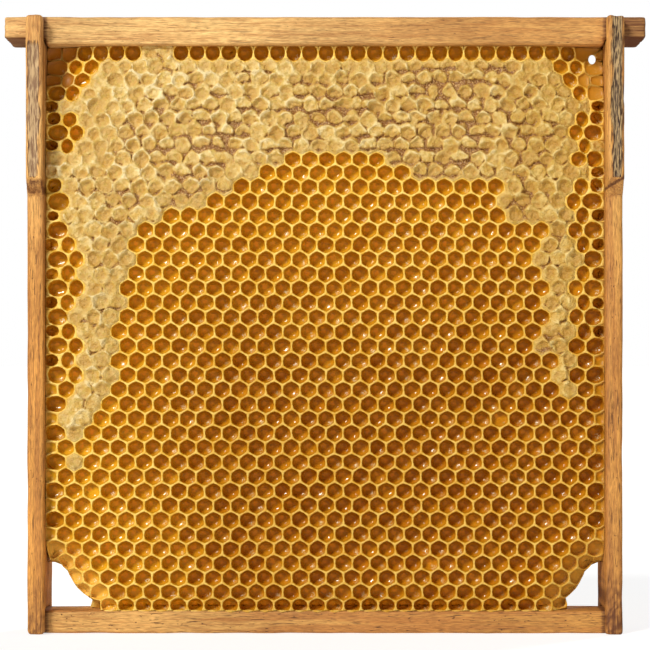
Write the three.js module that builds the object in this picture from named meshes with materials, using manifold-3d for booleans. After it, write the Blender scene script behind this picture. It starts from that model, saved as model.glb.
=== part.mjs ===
// A small wooden hive frame with natural honeycomb built into it.
// X runs along the top bar, Y through the comb and Z up, in millimetres.
// The origin is on the ground under the middle of the frame, which stands on its bottom bar.
import * as THREE from "three";
import { mergeVertices } from "three/addons/utils/BufferGeometryUtils.js";
import Module from "manifold-3d";

const wasm = await Module();
wasm.setup();

// ---- Driving sizes ----
const FRAME_HEIGHT = 194;
const FRAME_WIDTH = 187; // over the outer faces of the end bars
const TOP_BAR_LENGTH = 201.4; // over both lugs
const TOP_BAR_THICKNESS = 9;
const LUG_THICKNESS = 7;
const BAR_DEPTH = 25; // top bar, and end bars below their shoulders
const END_BAR_THICKNESS = 5.5;
const SHOULDER_DEPTH = 35; // the wide upper part that spaces one frame from the next
const SHOULDER_LENGTH = 51;
const SHOULDER_TAPER = 5.5;
const BOTTOM_BAR_DEPTH = 17;
const BOTTOM_BAR_THICKNESS = 7.2;
const JOINT_GAP = 0.2; // between a bar and the notch that holds it
const COMB_GAP = 0.3; // between the comb and the wood around it
const WORN_EDGE = 0.5; // the flat that wear has put on each long edge

const CELL_PITCH = 5.44; // between neighbours in a row, over the lower part of the comb
const CELL_PITCH_AT_TOP = 5.07;
const ROW_STEP = 4.55; // between rows, over the lower part of the comb
const ROW_STEP_AT_TOP = 4.22;
const ROWS = 40;
const NARROWING_ROWS = 9; // the uppermost rows, where the cells get smaller
const FIRST_ROW_HEIGHT = 8.6;

const OPEN_HALF = 10; // from the middle of the comb to the mouths of the open cells
const CAPPED_HALF = 11.3; // to the wax lids over the sealed honey
const TOP_ROWS_PROUD = 2.1; // how much further out the cells under the top bar are built
const TOP_ROWS_REACH = 16;
const BOTTOM_ROWS_SHORT = 1.7; // how much less far out the cells over the bottom bar are built
const BOTTOM_ROWS_REACH = 9;
const FREE_EDGE_HALF = 4.5; // where the comb thins towards its free edges
const TOP_CORNER_HALF = 4;
const TOP_CORNER_REACH = 12; // how far the unfinished cells run from each top corner
const FREE_EDGE_REACH = 13;
const OPEN_CORNER = 26; // from a top corner along both sides, where the cells stay open
const BORDER = 6.5; // the band of open cells beside each end bar
const PASSAGE_SIZE = [1.15, 1.45]; // half width and half height of the hole in one top corner
const PASSAGE_SLANT = [0.102, 0.115]; // how far it runs sideways and up for each millimetre of depth
const PASSAGE_INSET = [3, 3.2]; // its centre, from the end bar and from the top bar

const INNER_HALF = FRAME_WIDTH / 2 - END_BAR_THICKNESS;
const OPENING_TOP = FRAME_HEIGHT - TOP_BAR_THICKNESS;

// The lower border of the sealed honey: an arch over the open cells, lower at both sides.
const ARCH = [
  [-INNER_HALF, 52],
  [-77, 52],
  [-73, 72],
  [-67, 100],
  [-61, 118],
  [-54, 129],
  [-42, 133],
  [-18, 146],
  [-9, 151],
  [18, 151],
  [28, 144],
  [54, 142],
  [57, 131],
  [68, 126],
  [71, 84],
  [76, 70],
  [INNER_HALF, 66],
].map(([x, z]) => new THREE.Vector2(x, z));

// The gap in each lower corner, measured from the inner corner of the wood: the comb leaves the end bar
// at the gap's height, sweeps down and in, and turns under just above the bottom bar.
const CORNER_GAPS = [
  { side: -1, width: 14, height: 15.1 },
  { side: 1, width: 12.2, height: 15 },
];

// ---- Helpers ----
const material = (color, roughness) =>
  new THREE.MeshStandardMaterial({ color, roughness, metalness: 0 });

const pine = material("#d9a463", 0.62);
const wax = material("#e2b04a", 0.42);

function named(name, geometry, look) {
  const mesh = new THREE.Mesh(geometry, look);
  mesh.name = name;
  return mesh;
}

// A closed prism of an outline with its long edges taken off, centred on the depth it is extruded by.
function wornPrism(points, depth) {
  const outline = new THREE.Shape(points.map(([u, v]) => new THREE.Vector2(u, v)));
  const geometry = new THREE.ExtrudeGeometry(outline, {
    depth: depth - 2 * WORN_EDGE,
    bevelEnabled: true,
    bevelThickness: WORN_EDGE,
    bevelSize: WORN_EDGE,
    bevelOffset: -WORN_EDGE,
    bevelSegments: 1,
  });
  return geometry.translate(0, 0, -depth / 2 + WORN_EDGE);
}

// Turns a prism whose outline lies in Y and Z, so that its depth runs along X.
const ALONG_X = new THREE.Matrix4().makeBasis(
  new THREE.Vector3(0, 1, 0),
  new THREE.Vector3(0, 0, 1),
  new THREE.Vector3(1, 0, 0),
);

function solidOf(geometry) {
  const bare = geometry.clone();
  bare.deleteAttribute("normal");
  bare.deleteAttribute("uv");
  const merged = mergeVertices(bare, 1e-4);
  return new wasm.Manifold(
    new wasm.Mesh({
      numProp: 3,
      vertProperties: merged.getAttribute("position").array,
      triVerts: new Uint32Array(merged.index.array),
    }),
  );
}

function geometryOf(solid) {
  const mesh = solid.getMesh();
  const geometry = new THREE.BufferGeometry();
  geometry.setAttribute("position", new THREE.BufferAttribute(mesh.vertProperties, 3));
  geometry.setIndex(new THREE.BufferAttribute(mesh.triVerts, 1));
  geometry.computeVertexNormals();
  return geometry;
}

// ---- Woodwork ----
// The top bar is thick between the end bars and cut down to a lug at each end.
function topBar() {
  const end = TOP_BAR_LENGTH / 2;
  const step = INNER_HALF - JOINT_GAP;
  const lugUnderside = FRAME_HEIGHT - LUG_THICKNESS;
  const outline = [
    [-step, OPENING_TOP],
    [step, OPENING_TOP],
    [step, lugUnderside],
    [end, lugUnderside],
    [end, FRAME_HEIGHT],
    [-end, FRAME_HEIGHT],
    [-end, lugUnderside],
    [-step, lugUnderside],
  ];
  return wornPrism(outline, BAR_DEPTH).rotateX(Math.PI / 2);
}

// An end bar has wide shoulders, a notch in its top for the lug and one in its foot for the bottom bar.
function endBar() {
  const narrow = BAR_DEPTH / 2;
  const wide = SHOULDER_DEPTH / 2;
  const lugNotch = BAR_DEPTH / 2 + JOINT_GAP;
  const lugSeat = FRAME_HEIGHT - LUG_THICKNESS - JOINT_GAP;
  const footNotch = BOTTOM_BAR_DEPTH / 2 + JOINT_GAP;
  const footTop = BOTTOM_BAR_THICKNESS + JOINT_GAP;
  const shoulderFoot = FRAME_HEIGHT - SHOULDER_LENGTH;
  const half = [
    [footNotch, footTop],
    [footNotch, 0],
    [narrow, 0],
    [narrow, shoulderFoot - SHOULDER_TAPER],
    [wide, shoulderFoot],
    [wide, FRAME_HEIGHT],
    [lugNotch, FRAME_HEIGHT],
    [lugNotch, lugSeat],
  ];
  const mirrored = half.map(([y, z]) => [-y, z]).reverse();
  return wornPrism([...half, ...mirrored], END_BAR_THICKNESS).applyMatrix4(ALONG_X);
}

function bottomBar() {
  const half = BOTTOM_BAR_DEPTH / 2;
  const outline = [
    [-half, 0],
    [half, 0],
    [half, BOTTOM_BAR_THICKNESS],
    [-half, BOTTOM_BAR_THICKNESS],
  ];
  return wornPrism(outline, FRAME_WIDTH).applyMatrix4(ALONG_X);
}

// ---- Comb ----
// How far row number r has got from full-sized cells (0) to the small ones at the top (1).
const narrowing = (row) =>
  THREE.MathUtils.clamp((row - (ROWS - 1 - NARROWING_ROWS)) / NARROWING_ROWS, 0, 1);

function rowHeight(row) {
  const fullRows = Math.min(row, ROWS - 1 - NARROWING_ROWS);
  const smallRows = row - fullRows;
  return FIRST_ROW_HEIGHT + fullRows * ROW_STEP + smallRows * ROW_STEP_AT_TOP;
}

// The cell centres of a row, from one end bar to the other. Odd rows have a cell in the middle.
function cellCentres(row) {
  const pitch = THREE.MathUtils.lerp(CELL_PITCH, CELL_PITCH_AT_TOP, narrowing(row));
  const offset = row % 2 === 1 ? 0 : pitch / 2;
  const reach = INNER_HALF - COMB_GAP - pitch / 4;
  const centres = [];
  for (let i = Math.ceil((-reach - offset) / pitch); i * pitch + offset <= reach; i++) {
    centres.push(i * pitch + offset);
  }
  return centres;
}

// The height of the arch at x.
function archHeight(x) {
  const after = ARCH.findIndex((point) => point.x >= x);
  if (after <= 0) return ARCH[0].y;
  const [a, b] = [ARCH[after - 1], ARCH[after]];
  return THREE.MathUtils.mapLinear(x, a.x, b.x, a.y, b.y);
}

// Whether a cell is sealed: above the arch, but not in the border beside the bars or in a top corner.
function isCapped(x, row) {
  const z = rowHeight(row);
  const fromSide = INNER_HALF - Math.abs(x);
  const inBorder = fromSide < BORDER || row === ROWS - 1;
  const inCorner = fromSide + (OPENING_TOP - z) < OPEN_CORNER;
  return !inBorder && !inCorner && z > archHeight(x);
}

// The spline of the comb's free edge round a lower corner gap, from the end bar to the bottom bar.
function freeEdge({ side, width, height }) {
  const wood = INNER_HALF * side;
  const at = (across, up) =>
    new THREE.Vector2(wood - side * across * width, BOTTOM_BAR_THICKNESS + up * height);
  const edge = new THREE.CurvePath();
  edge.add(new THREE.CubicBezierCurve(at(0, 1), at(0.4, 1.05), at(0.4, 0.85), at(0.55, 0.62)));
  edge.add(new THREE.CubicBezierCurve(at(0.55, 0.62), at(0.7, 0.32), at(1, 0.27), at(1, 0.14)));
  edge.add(new THREE.QuadraticBezierCurve(at(1, 0.14), at(1, 0.05), at(0.9, 0)));
  return edge;
}

const EDGE_POINTS = CORNER_GAPS.flatMap((gap) => freeEdge(gap).getSpacedPoints(24));

// Half the comb's thickness at a point: thicker under the top bar, and thinner over the bottom bar,
// towards the free edges and in the top corners.
function halfThickness(x, z, full) {
  const point = new THREE.Vector2(x, z);
  const fromEdge = Math.min(...EDGE_POINTS.map((edge) => edge.distanceTo(point)));
  const fromCorner = Math.hypot(INNER_HALF - Math.abs(x), OPENING_TOP - z);
  const atEdge = THREE.MathUtils.smoothstep(fromEdge, 0, FREE_EDGE_REACH);
  const atCorner = THREE.MathUtils.smoothstep(fromCorner, TOP_CORNER_REACH / 2, TOP_CORNER_REACH);
  const low = THREE.MathUtils.smoothstep(OPENING_TOP - z, 0, TOP_ROWS_REACH);
  const high = THREE.MathUtils.smoothstep(z - BOTTOM_BAR_THICKNESS, 0, BOTTOM_ROWS_REACH);
  const built = full + TOP_ROWS_PROUD * (1 - low) - BOTTOM_ROWS_SHORT * (1 - high);
  return Math.min(
    THREE.MathUtils.lerp(FREE_EDGE_HALF, built, atEdge),
    THREE.MathUtils.lerp(TOP_CORNER_HALF, built, atCorner),
  );
}

// One line of surface points: a point for each cell centre, and one at each end bar.
function surfaceRow(z, row) {
  const edge = INNER_HALF - COMB_GAP;
  return [-edge, ...cellCentres(row), edge].map((x) => {
    const full = isCapped(x, row) ? CAPPED_HALF : OPEN_HALF;
    return new THREE.Vector3(x, halfThickness(x, z, full), z);
  });
}

// Triangles between two lines of points, always joining the nearer pair next.
function zip(lower, upper, add) {
  let i = 0;
  let j = 0;
  while (i < lower.length - 1 || j < upper.length - 1) {
    const upperDone = j === upper.length - 1;
    const lowerDone = i === lower.length - 1;
    if (upperDone || (!lowerDone && lower[i + 1].x <= upper[j + 1].x)) {
      add(lower[i], lower[i + 1], upper[j]);
      i++;
    } else {
      add(lower[i], upper[j + 1], upper[j]);
      j++;
    }
  }
}

// The comb before its corners are cut: two faces with a point at every cell, and flat edges.
function combSlab() {
  const bottom = BOTTOM_BAR_THICKNESS + COMB_GAP;
  const top = OPENING_TOP - COMB_GAP;
  const lines = [surfaceRow(bottom, 0)];
  for (let row = 0; row < ROWS; row++) lines.push(surfaceRow(rowHeight(row), row));
  lines.push(surfaceRow(top, ROWS - 1));

  const positions = [];
  const triangle = (a, b, c) => positions.push(...a.toArray(), ...b.toArray(), ...c.toArray());
  const back = (point) => point;
  const front = ({ x, y, z }) => new THREE.Vector3(x, -y, z);
  for (let k = 0; k < lines.length - 1; k++) {
    zip(lines[k], lines[k + 1], (a, b, c) => {
      triangle(front(a), front(b), front(c));
      triangle(back(a), back(c), back(b));
    });
  }
  const wall = (a, b) => {
    triangle(front(a), back(a), back(b));
    triangle(front(a), back(b), front(b));
  };
  const walk = (points) => points.slice(1).forEach((point, i) => wall(points[i], point));
  walk(lines[0]);
  walk(lines.map((line) => line[line.length - 1]));
  walk([...lines[lines.length - 1]].reverse());
  walk(lines.map((line) => line[0]).reverse());

  const geometry = new THREE.BufferGeometry();
  geometry.setAttribute("position", new THREE.Float32BufferAttribute(positions, 3));
  return geometry;
}

// The space outside a free edge, through the whole depth of the frame.
function cornerCutter(gap) {
  const edge = freeEdge(gap).getSpacedPoints(28);
  const outside = gap.side * (INNER_HALF + 5);
  const shape = new THREE.Shape([
    new THREE.Vector2(outside, edge[0].y),
    ...edge,
    new THREE.Vector2(edge[edge.length - 1].x, 0),
    new THREE.Vector2(outside, 0),
  ]);
  return new THREE.ExtrudeGeometry(shape, { depth: SHOULDER_DEPTH, bevelEnabled: false })
    .translate(0, 0, -SHOULDER_DEPTH / 2)
    .rotateX(Math.PI / 2);
}

// The passage the bees left in the right top corner.
function passageCutter() {
  const [halfWidth, halfHeight] = PASSAGE_SIZE;
  const [fromSide, fromTop] = PASSAGE_INSET;
  const [sideways, upwards] = PASSAGE_SLANT;
  return new THREE.CylinderGeometry(1, 1, SHOULDER_DEPTH, 20)
    .scale(halfWidth, 1, halfHeight)
    .rotateX(Math.atan(upwards))
    .rotateZ(-Math.atan(sideways))
    .translate(INNER_HALF - fromSide, 0, OPENING_TOP - fromTop);
}

function comb() {
  const cutters = [...CORNER_GAPS.map(cornerCutter), passageCutter()];
  const cut = cutters.reduce(
    (solid, cutter) => solid.subtract(solidOf(cutter)),
    solidOf(combSlab()),
  );
  return geometryOf(cut);
}

// ---- The whole piece ----
const frame = new THREE.Group();
frame.add(named("top_bar", topBar(), pine));
frame.add(named("bottom_bar", bottomBar(), pine));
for (const [name, side] of [["end_bar_left", -1], ["end_bar_right", 1]]) {
  const bar = named(name, endBar(), pine);
  bar.position.x = side * (INNER_HALF + END_BAR_THICKNESS / 2);
  frame.add(bar);
}
frame.add(named("comb", comb(), wax));

export default frame;
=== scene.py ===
# %% [markdown]
# # A honeycomb in its small wooden hive frame
#
# The real thing is a frame of four pine bars that bees have filled with comb. The comb is a sheet of
# six-sided wax cells on both sides of a shared middle. Most cells stand open and wet with honey, and
# an arch of cells over the top and partly down both sides is sealed under cream wax lids.
#
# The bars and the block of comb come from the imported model, which fixes every size. This script keeps
# those sizes and makes what the eye sees: about thirteen hundred cells a side, the wax lids over the
# ripe honey, worn bars with their grain, and then the light, the floor and the camera.

# %% Load the frame
from math import pi, sqrt

import bpy
import numpy as np
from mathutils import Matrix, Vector, kdtree


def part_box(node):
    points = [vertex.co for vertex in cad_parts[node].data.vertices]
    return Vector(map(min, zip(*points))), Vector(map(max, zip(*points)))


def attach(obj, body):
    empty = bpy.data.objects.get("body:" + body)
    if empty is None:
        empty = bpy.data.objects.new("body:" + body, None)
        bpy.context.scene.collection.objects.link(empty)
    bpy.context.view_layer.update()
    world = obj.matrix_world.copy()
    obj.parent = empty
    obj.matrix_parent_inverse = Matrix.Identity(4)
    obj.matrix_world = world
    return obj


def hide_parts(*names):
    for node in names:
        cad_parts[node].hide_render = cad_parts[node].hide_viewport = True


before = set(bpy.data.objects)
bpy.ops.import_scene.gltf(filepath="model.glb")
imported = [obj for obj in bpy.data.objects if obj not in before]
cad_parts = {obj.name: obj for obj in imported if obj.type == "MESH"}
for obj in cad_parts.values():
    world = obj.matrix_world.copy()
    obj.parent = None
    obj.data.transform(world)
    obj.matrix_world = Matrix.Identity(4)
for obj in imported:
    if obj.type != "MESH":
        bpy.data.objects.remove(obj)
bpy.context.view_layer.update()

MM = 0.001
print("nodes:", sorted(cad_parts))

# %% [markdown]
# ## Working habits
#
# Blender's operators act on whatever is selected, and loading the frame leaves its nodes selected. So
# every piece starts with nothing selected and ends in object mode. Faces are picked in code, by what
# they are, through a list of true and false values, one for each face.

# %% Select and edit
bpy.context.scene.tool_settings.mesh_select_mode = (False, False, True)


def deselect_all():
    bpy.ops.object.select_all(action="DESELECT")


def make_active(piece):
    """Selects one object and nothing else."""
    deselect_all()
    piece.select_set(True)
    bpy.context.view_layer.objects.active = piece


def edit_mode():
    bpy.ops.object.mode_set(mode="EDIT")


def object_mode():
    bpy.ops.object.mode_set(mode="OBJECT")


def select_faces(mesh, chosen):
    """Selects exactly the faces whose value in chosen is true."""
    mesh.vertices.foreach_set("select", np.zeros(len(mesh.vertices), bool))
    mesh.edges.foreach_set("select", np.zeros(len(mesh.edges), bool))
    mesh.polygons.foreach_set("select", np.asarray(chosen, bool))


def selected_faces(mesh):
    chosen = np.zeros(len(mesh.polygons), bool)
    mesh.polygons.foreach_get("select", chosen)
    return chosen


print("faces are picked in code")

# %% [markdown]
# A mesh keeps its numbers in long flat lists. Reading a whole list at once and shaping it as a table
# lets one line of arithmetic move every point, which is much faster than a loop over the points.

# %% Read and move the points
def points_of(mesh):
    """The vertex places as an array with one row for each vertex."""
    flat = np.zeros(len(mesh.vertices) * 3)
    mesh.vertices.foreach_get("co", flat)
    return flat.reshape(-1, 3)


def move_points(mesh, points):
    mesh.vertices.foreach_set("co", points.ravel())
    mesh.update()


def face_centres(mesh):
    flat = np.zeros(len(mesh.polygons) * 3)
    mesh.polygons.foreach_get("center", flat)
    return flat.reshape(-1, 3)


def point_of_corners(mesh):
    """Which vertex each face corner uses, face after face."""
    corner_vertex = np.zeros(len(mesh.loops), int)
    mesh.loops.foreach_get("vertex_index", corner_vertex)
    return corner_vertex


def ends_of_edges(mesh):
    """The two vertices of every edge, one row for each edge."""
    ends = np.zeros(len(mesh.edges) * 2, int)
    mesh.edges.foreach_get("vertices", ends)
    return ends.reshape(-1, 2)


def sides_of_faces(mesh):
    """How many sides each face has."""
    totals = np.zeros(len(mesh.polygons), int)
    mesh.polygons.foreach_get("loop_total", totals)
    return totals


def starts_of_faces(mesh):
    """Where each face begins in the list of face corners."""
    starts = np.zeros(len(mesh.polygons), int)
    mesh.polygons.foreach_get("loop_start", starts)
    return starts


print("points are read as tables")

# %% [markdown]
# A modifier is added, set up and applied in one go, so what follows always works on real points. A
# note is one number at every point: the steps that shape the wax write it, and the materials read it.

# %% Modifiers and notes
def apply_modifier(piece, kind, **settings):
    """Adds a modifier, sets it up and applies it at once."""
    make_active(piece)
    modifier = piece.modifiers.new(kind.title(), kind)
    for name, value in settings.items():
        setattr(modifier, name, value)
    bpy.ops.object.modifier_apply(modifier=modifier.name)


def note(mesh, name, values):
    """Writes one number for every point, for the materials to read."""
    if name not in mesh.attributes:
        mesh.attributes.new(name, "FLOAT", "POINT")
    mesh.attributes[name].data.foreach_set("value", np.asarray(values, float))


def noted(mesh, name):
    values = np.zeros(len(mesh.vertices))
    mesh.attributes[name].data.foreach_get("value", values)
    return values


def triangles(piece):
    return sum(len(face.vertices) - 2 for face in piece.data.polygons)


print("notes are kept at the points")

# %% [markdown]
# Bees and weather work unevenly, but not at random from one point to the next. A table of random
# values, blended smoothly between its places, gives hollows and swellings of any chosen size.

# %% Smooth steps and smooth unevenness
LUMP_TABLE = 64  # places each way in the table, after which it repeats


def smoothstep(value, low, high):
    """From 0 at low to 1 at high, with a soft start and end. low may be the larger one."""
    share = np.clip((value - low) / (high - low), 0, 1)
    return share * share * (3 - 2 * share)


def lumps(across, up, size, seed):
    """Smooth uneven values from -1 to 1 over a plane, with bumps of about the given size."""
    table = np.random.default_rng(seed).uniform(-1, 1, (LUMP_TABLE, LUMP_TABLE))
    x, y = np.asarray(across) / size, np.asarray(up) / size
    column, row = np.floor(x).astype(int), np.floor(y).astype(int)
    s, t = smoothstep(x - column, 0, 1), smoothstep(y - row, 0, 1)

    def corner(i, j):
        return table[(column + i) % LUMP_TABLE, (row + j) % LUMP_TABLE]

    low = corner(0, 0) * (1 - s) + corner(1, 0) * s
    high = corner(0, 1) * (1 - s) + corner(1, 1) * s
    return low * (1 - t) + high * t


print("unevenness at one place:", round(float(lumps(0.3, 0.7, 1, seed=1)), 3))

# %% [markdown]
# ## The opening that the comb fills
#
# Bees fasten comb to whatever wood they find, so the comb's outline is the opening between the bars.
# Its edges are read from the frame's own nodes, and the two gaps that the bees left in the lower
# corners are drawn as smooth curves from the end bar down to the bottom bar.

# %% Read the opening and draw the two free edges
JOINT_GAP = 0.3 * MM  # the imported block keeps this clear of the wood, but real comb is stuck to it
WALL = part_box("comb")[1].x + JOINT_GAP
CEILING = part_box("comb")[1].z + JOINT_GAP
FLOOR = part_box("comb")[0].z - JOINT_GAP
GAP_WIDTHS = {-1: 14 * MM, 1: 12.2 * MM}  # left and right, from the end bar
GAP_HEIGHT = 15.1 * MM
PAST_WOOD = 1.2  # of the way to the end bar, where a gap's outline is closed behind it


def bezier(controls, steps):
    """Points along a cubic curve with four control points, in shares of the gap's size."""
    t = np.linspace(0, 1, steps)[:, None]
    weights = [(1 - t) ** 3, 3 * t * (1 - t) ** 2, 3 * t**2 * (1 - t), t**3]
    return sum(weight * np.array(point) for weight, point in zip(weights, controls))


def free_edge(side):
    """The comb's outline round one lower corner gap, from the end bar to the bottom bar."""
    down = bezier([(0, 1), (0.4, 1.05), (0.4, 0.85), (0.55, 0.62)], 40)
    under = bezier([(0.55, 0.62), (0.7, 0.32), (1, 0.27), (1, 0.14)], 40)
    turn = bezier([(1, 0.14), (1, 0.08), (0.97, 0.02), (0.9, 0)], 12)
    curve = np.vstack([down, under[1:], turn[1:]])
    x = side * (WALL - curve[:, 0] * GAP_WIDTHS[side])
    return np.column_stack([x, FLOOR + curve[:, 1] * GAP_HEIGHT])


FREE_EDGES = {side: free_edge(side) for side in (-1, 1)}


def nearest_on_edge(side, x, z):
    """How far each place is from a free edge, and the edge's nearest point."""
    edge = FREE_EDGES[side]
    gaps = np.hypot(x[:, None] - edge[None, :, 0], z[:, None] - edge[None, :, 1])
    nearest = gaps.argmin(1)
    return gaps[np.arange(len(x)), nearest], edge[nearest]


def in_gap(side, x, z):
    """Whether each place lies in the gap, which is the space outside the free edge."""
    edge = FREE_EDGES[side]
    behind = side * WALL * PAST_WOOD
    outline = np.vstack([edge, [(behind, edge[-1, 1]), (behind, edge[0, 1])]])
    inside = np.zeros(len(x), bool)
    for (x0, z0), (x1, z1) in zip(outline, np.roll(outline, -1, axis=0)):
        if z0 != z1:
            crosses = (z0 > z) != (z1 > z)
            inside ^= crosses & (x < (x1 - x0) * (z - z0) / (z1 - z0) + x0)
    return inside


print("opening in mm:", round(2 * WALL / MM, 1), "wide and", round((CEILING - FLOOR) / MM, 1), "high")

# %% [markdown]
# ## How thick the comb is
#
# The two faces of a comb aren't flat. Open cells end about 10 mm from the middle, the top row reaches
# out to the front of the top bar, and the comb thins out where the bees hadn't finished: in the top
# corners, down to the slim bottom bar and along the free edges. One function gives that depth
# everywhere, and every later step asks it.

# %% The depth of the cell mouths over the whole comb
OPEN_HALF = 10 * MM
TOP_ROW_HALF = 12.1 * MM
BOTTOM_HALF = 8.3 * MM
CORNER_HALF = 5 * MM
FREE_EDGE_HALF = 2.6 * MM
WAVE_HEIGHT = 0.25 * MM  # of the slow waves over the whole face
WAVE_LENGTH = 28 * MM
TOP_SWELL = (16 * MM, 2 * MM)  # below the top bar: where the comb starts to thicken, and is thickest
BOTTOM_REACH = 9 * MM
SIDE_REACH = 5 * MM
SIDE_THINNING = 0.8 * MM
CORNER_REACH = (3 * MM, 24 * MM)
CORNER_SLOPE = 1.1  # how much faster a corner thickens downwards than sideways
FREE_EDGE_REACH = 9 * MM


def mouth_depth(x, z, side):
    """Distance from the middle of the comb to the mouths of the cells. side is -1 front, 1 back."""
    below_top = CEILING - z
    from_wall = WALL - np.abs(x)
    depth = OPEN_HALF + WAVE_HEIGHT * lumps(x, z, WAVE_LENGTH, 5 + side)
    depth = depth + (TOP_ROW_HALF - OPEN_HALF) * smoothstep(below_top, *TOP_SWELL)
    depth = depth - (OPEN_HALF - BOTTOM_HALF) * smoothstep(z - FLOOR, BOTTOM_REACH, 0)
    depth = depth - SIDE_THINNING * smoothstep(from_wall, SIDE_REACH, 0)
    corner = np.hypot(from_wall, below_top * CORNER_SLOPE)
    depth = CORNER_HALF + (depth - CORNER_HALF) * smoothstep(corner, *CORNER_REACH)
    for gap_side in (-1, 1):
        away, _ = nearest_on_edge(gap_side, x, z)
        rounding = np.sqrt(np.clip(away / FREE_EDGE_REACH, 0, 1))
        depth = np.minimum(depth, FREE_EDGE_HALF + (OPEN_HALF - FREE_EDGE_HALF) * rounding)
    return depth


print("mouth depth in the middle, mm:", mouth_depth(np.zeros(1), np.full(1, 0.09), -1) / MM)

# %% [markdown]
# ## A flat sheet of hexagons
#
# Every cell starts as a hexagon. Modelling a thousand by hand makes no sense, and a scattered instance
# wouldn't share its walls with its neighbours. So one six-sided circle is added, copied once to start
# the next row, and two Array modifiers repeat the pair over the whole comb. Merging the touching
# corners gives one sheet in which each wall belongs to two cells, as it does in wax.

# %% Make the sheet with two arrays
PITCH = 5.45 * MM
ROW_STEP = 4.557 * MM
FIRST_ROW = 8.65 * MM
COLUMNS = 37
ROW_PAIRS = 20
FIRST_COLUMN = -17.5  # in pitches from the middle
MERGE_GAP = 0.3 * MM  # corners nearer than this are one corner


def hexagon_sheet(name, set_off):
    """A flat sheet of hexagons. set_off moves the whole lattice sideways, in pitches."""
    deselect_all()
    bpy.ops.mesh.primitive_circle_add(
        vertices=6, radius=PITCH / sqrt(3), fill_type="NGON",
        location=((FIRST_COLUMN - set_off) * PITCH, 0, FIRST_ROW), rotation=(pi / 2, 0, 0),
    )
    sheet = bpy.context.object
    sheet.name = name
    bpy.ops.object.transform_apply(location=True, rotation=True, scale=True)
    edit_mode()
    bpy.ops.mesh.select_all(action="SELECT")
    bpy.ops.mesh.duplicate_move(TRANSFORM_OT_translate={"value": (PITCH / 2, 0, ROW_STEP)})
    object_mode()
    spacing = {"use_relative_offset": False, "use_constant_offset": True}
    aside, upwards = (PITCH, 0, 0), (0, 0, 2 * ROW_STEP)
    apply_modifier(sheet, "ARRAY", count=COLUMNS, constant_offset_displace=aside, **spacing)
    apply_modifier(sheet, "ARRAY", count=ROW_PAIRS, constant_offset_displace=upwards, **spacing)
    edit_mode()
    bpy.ops.mesh.select_all(action="SELECT")
    bpy.ops.mesh.remove_doubles(threshold=MERGE_GAP)
    object_mode()
    corner_count = len(sheet.data.vertices)
    edit_mode()
    bpy.ops.mesh.subdivide(number_cuts=1, ngon=True)
    object_mode()
    halfway = np.arange(len(sheet.data.vertices)) >= corner_count
    note(sheet.data, "halfway", halfway)
    return sheet


print("cells in a full sheet:", 2 * COLUMNS * ROW_PAIRS)

# %% [markdown]
# ## From a perfect lattice to bee-built comb
#
# Bees keep their rows straight but not the size of their cells: these shrink towards the top bar. A
# point of the lattice has a column and a row number, and both turn into real places here.

# %% Real places for rows and columns
NARROWING_FROM = 27  # the row above which the cells get smaller
SHORTENING_FROM = 30  # the row above which the rows come closer together
TOP_ROW = 2 * ROW_PAIRS - 1
TOP_ROW_HEIGHT = 182.8 * MM
TOP_STEP = 4.1 * MM  # from the top row to the one that would follow it
PITCHES = [5.49 * MM, 5.41 * MM, 5.07 * MM]  # in the first row, where they narrow, and in the top row


def row_height(row):
    rows = [-2, 0, SHORTENING_FROM, TOP_ROW, TOP_ROW + 1]
    straight = FIRST_ROW + ROW_STEP * np.array([-2, 0, SHORTENING_FROM])
    heights = np.append(straight, [TOP_ROW_HEIGHT, TOP_ROW_HEIGHT + TOP_STEP])
    return np.interp(row, rows, heights)


def pitch_at(row):
    return np.interp(row, [0, NARROWING_FROM, TOP_ROW], PITCHES)


def real_places(flat):
    """For places on the lattice: their column, their row, and where they really are."""
    column, row = flat[:, 0] / PITCH, (flat[:, 2] - FIRST_ROW) / ROW_STEP
    return column, row, column * pitch_at(row), row_height(row)


print("top row at", round(float(row_height(TOP_ROW)) / MM, 1), "mm")

# %% [markdown]
# ## The outline of the comb
#
# Cells that would be mostly inside the wood or in a corner gap are deleted. The points round what is
# left are then known by their edges, which have a face on one side only.

# %% Delete the cells outside the opening
SMALLEST_SHARE = 0.45  # of a cell's width that has to fit beside the wood
GAP_SLACK = 0.4 * MM  # a cell stays if its middle is less than this deep in a gap


def delete_outside(sheet):
    """Deletes the cells outside the opening, and tells which points lie on the new outline."""
    mesh = sheet.data
    column, row, x, z = real_places(face_centres(mesh))
    share = WALL / pitch_at(row) - (np.abs(column) - 0.5)
    outside = share < SMALLEST_SHARE
    for side in (-1, 1):
        outside |= in_gap(side, x, z + GAP_SLACK)
    select_faces(mesh, outside)
    edit_mode()
    bpy.ops.mesh.delete(type="FACE")
    bpy.ops.mesh.select_all(action="DESELECT")
    bpy.ops.mesh.select_mode(type="EDGE")
    bpy.ops.mesh.select_non_manifold()
    object_mode()
    on_outline = np.zeros(len(mesh.vertices), bool)
    mesh.vertices.foreach_get("select", on_outline)
    bpy.context.scene.tool_settings.mesh_select_mode = (False, False, True)
    return on_outline


print("a cell stays if this share of it fits:", SMALLEST_SHARE)

# %% [markdown]
# ## Fitting the sheet to the wood
#
# The outline is pulled onto the wood and the free edges. Bees square off the cells that meet wood, so
# the walls between them go to half rows. The points halfway along the walls then follow their two
# ends, and cells squeezed to nothing are merged away.

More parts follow.
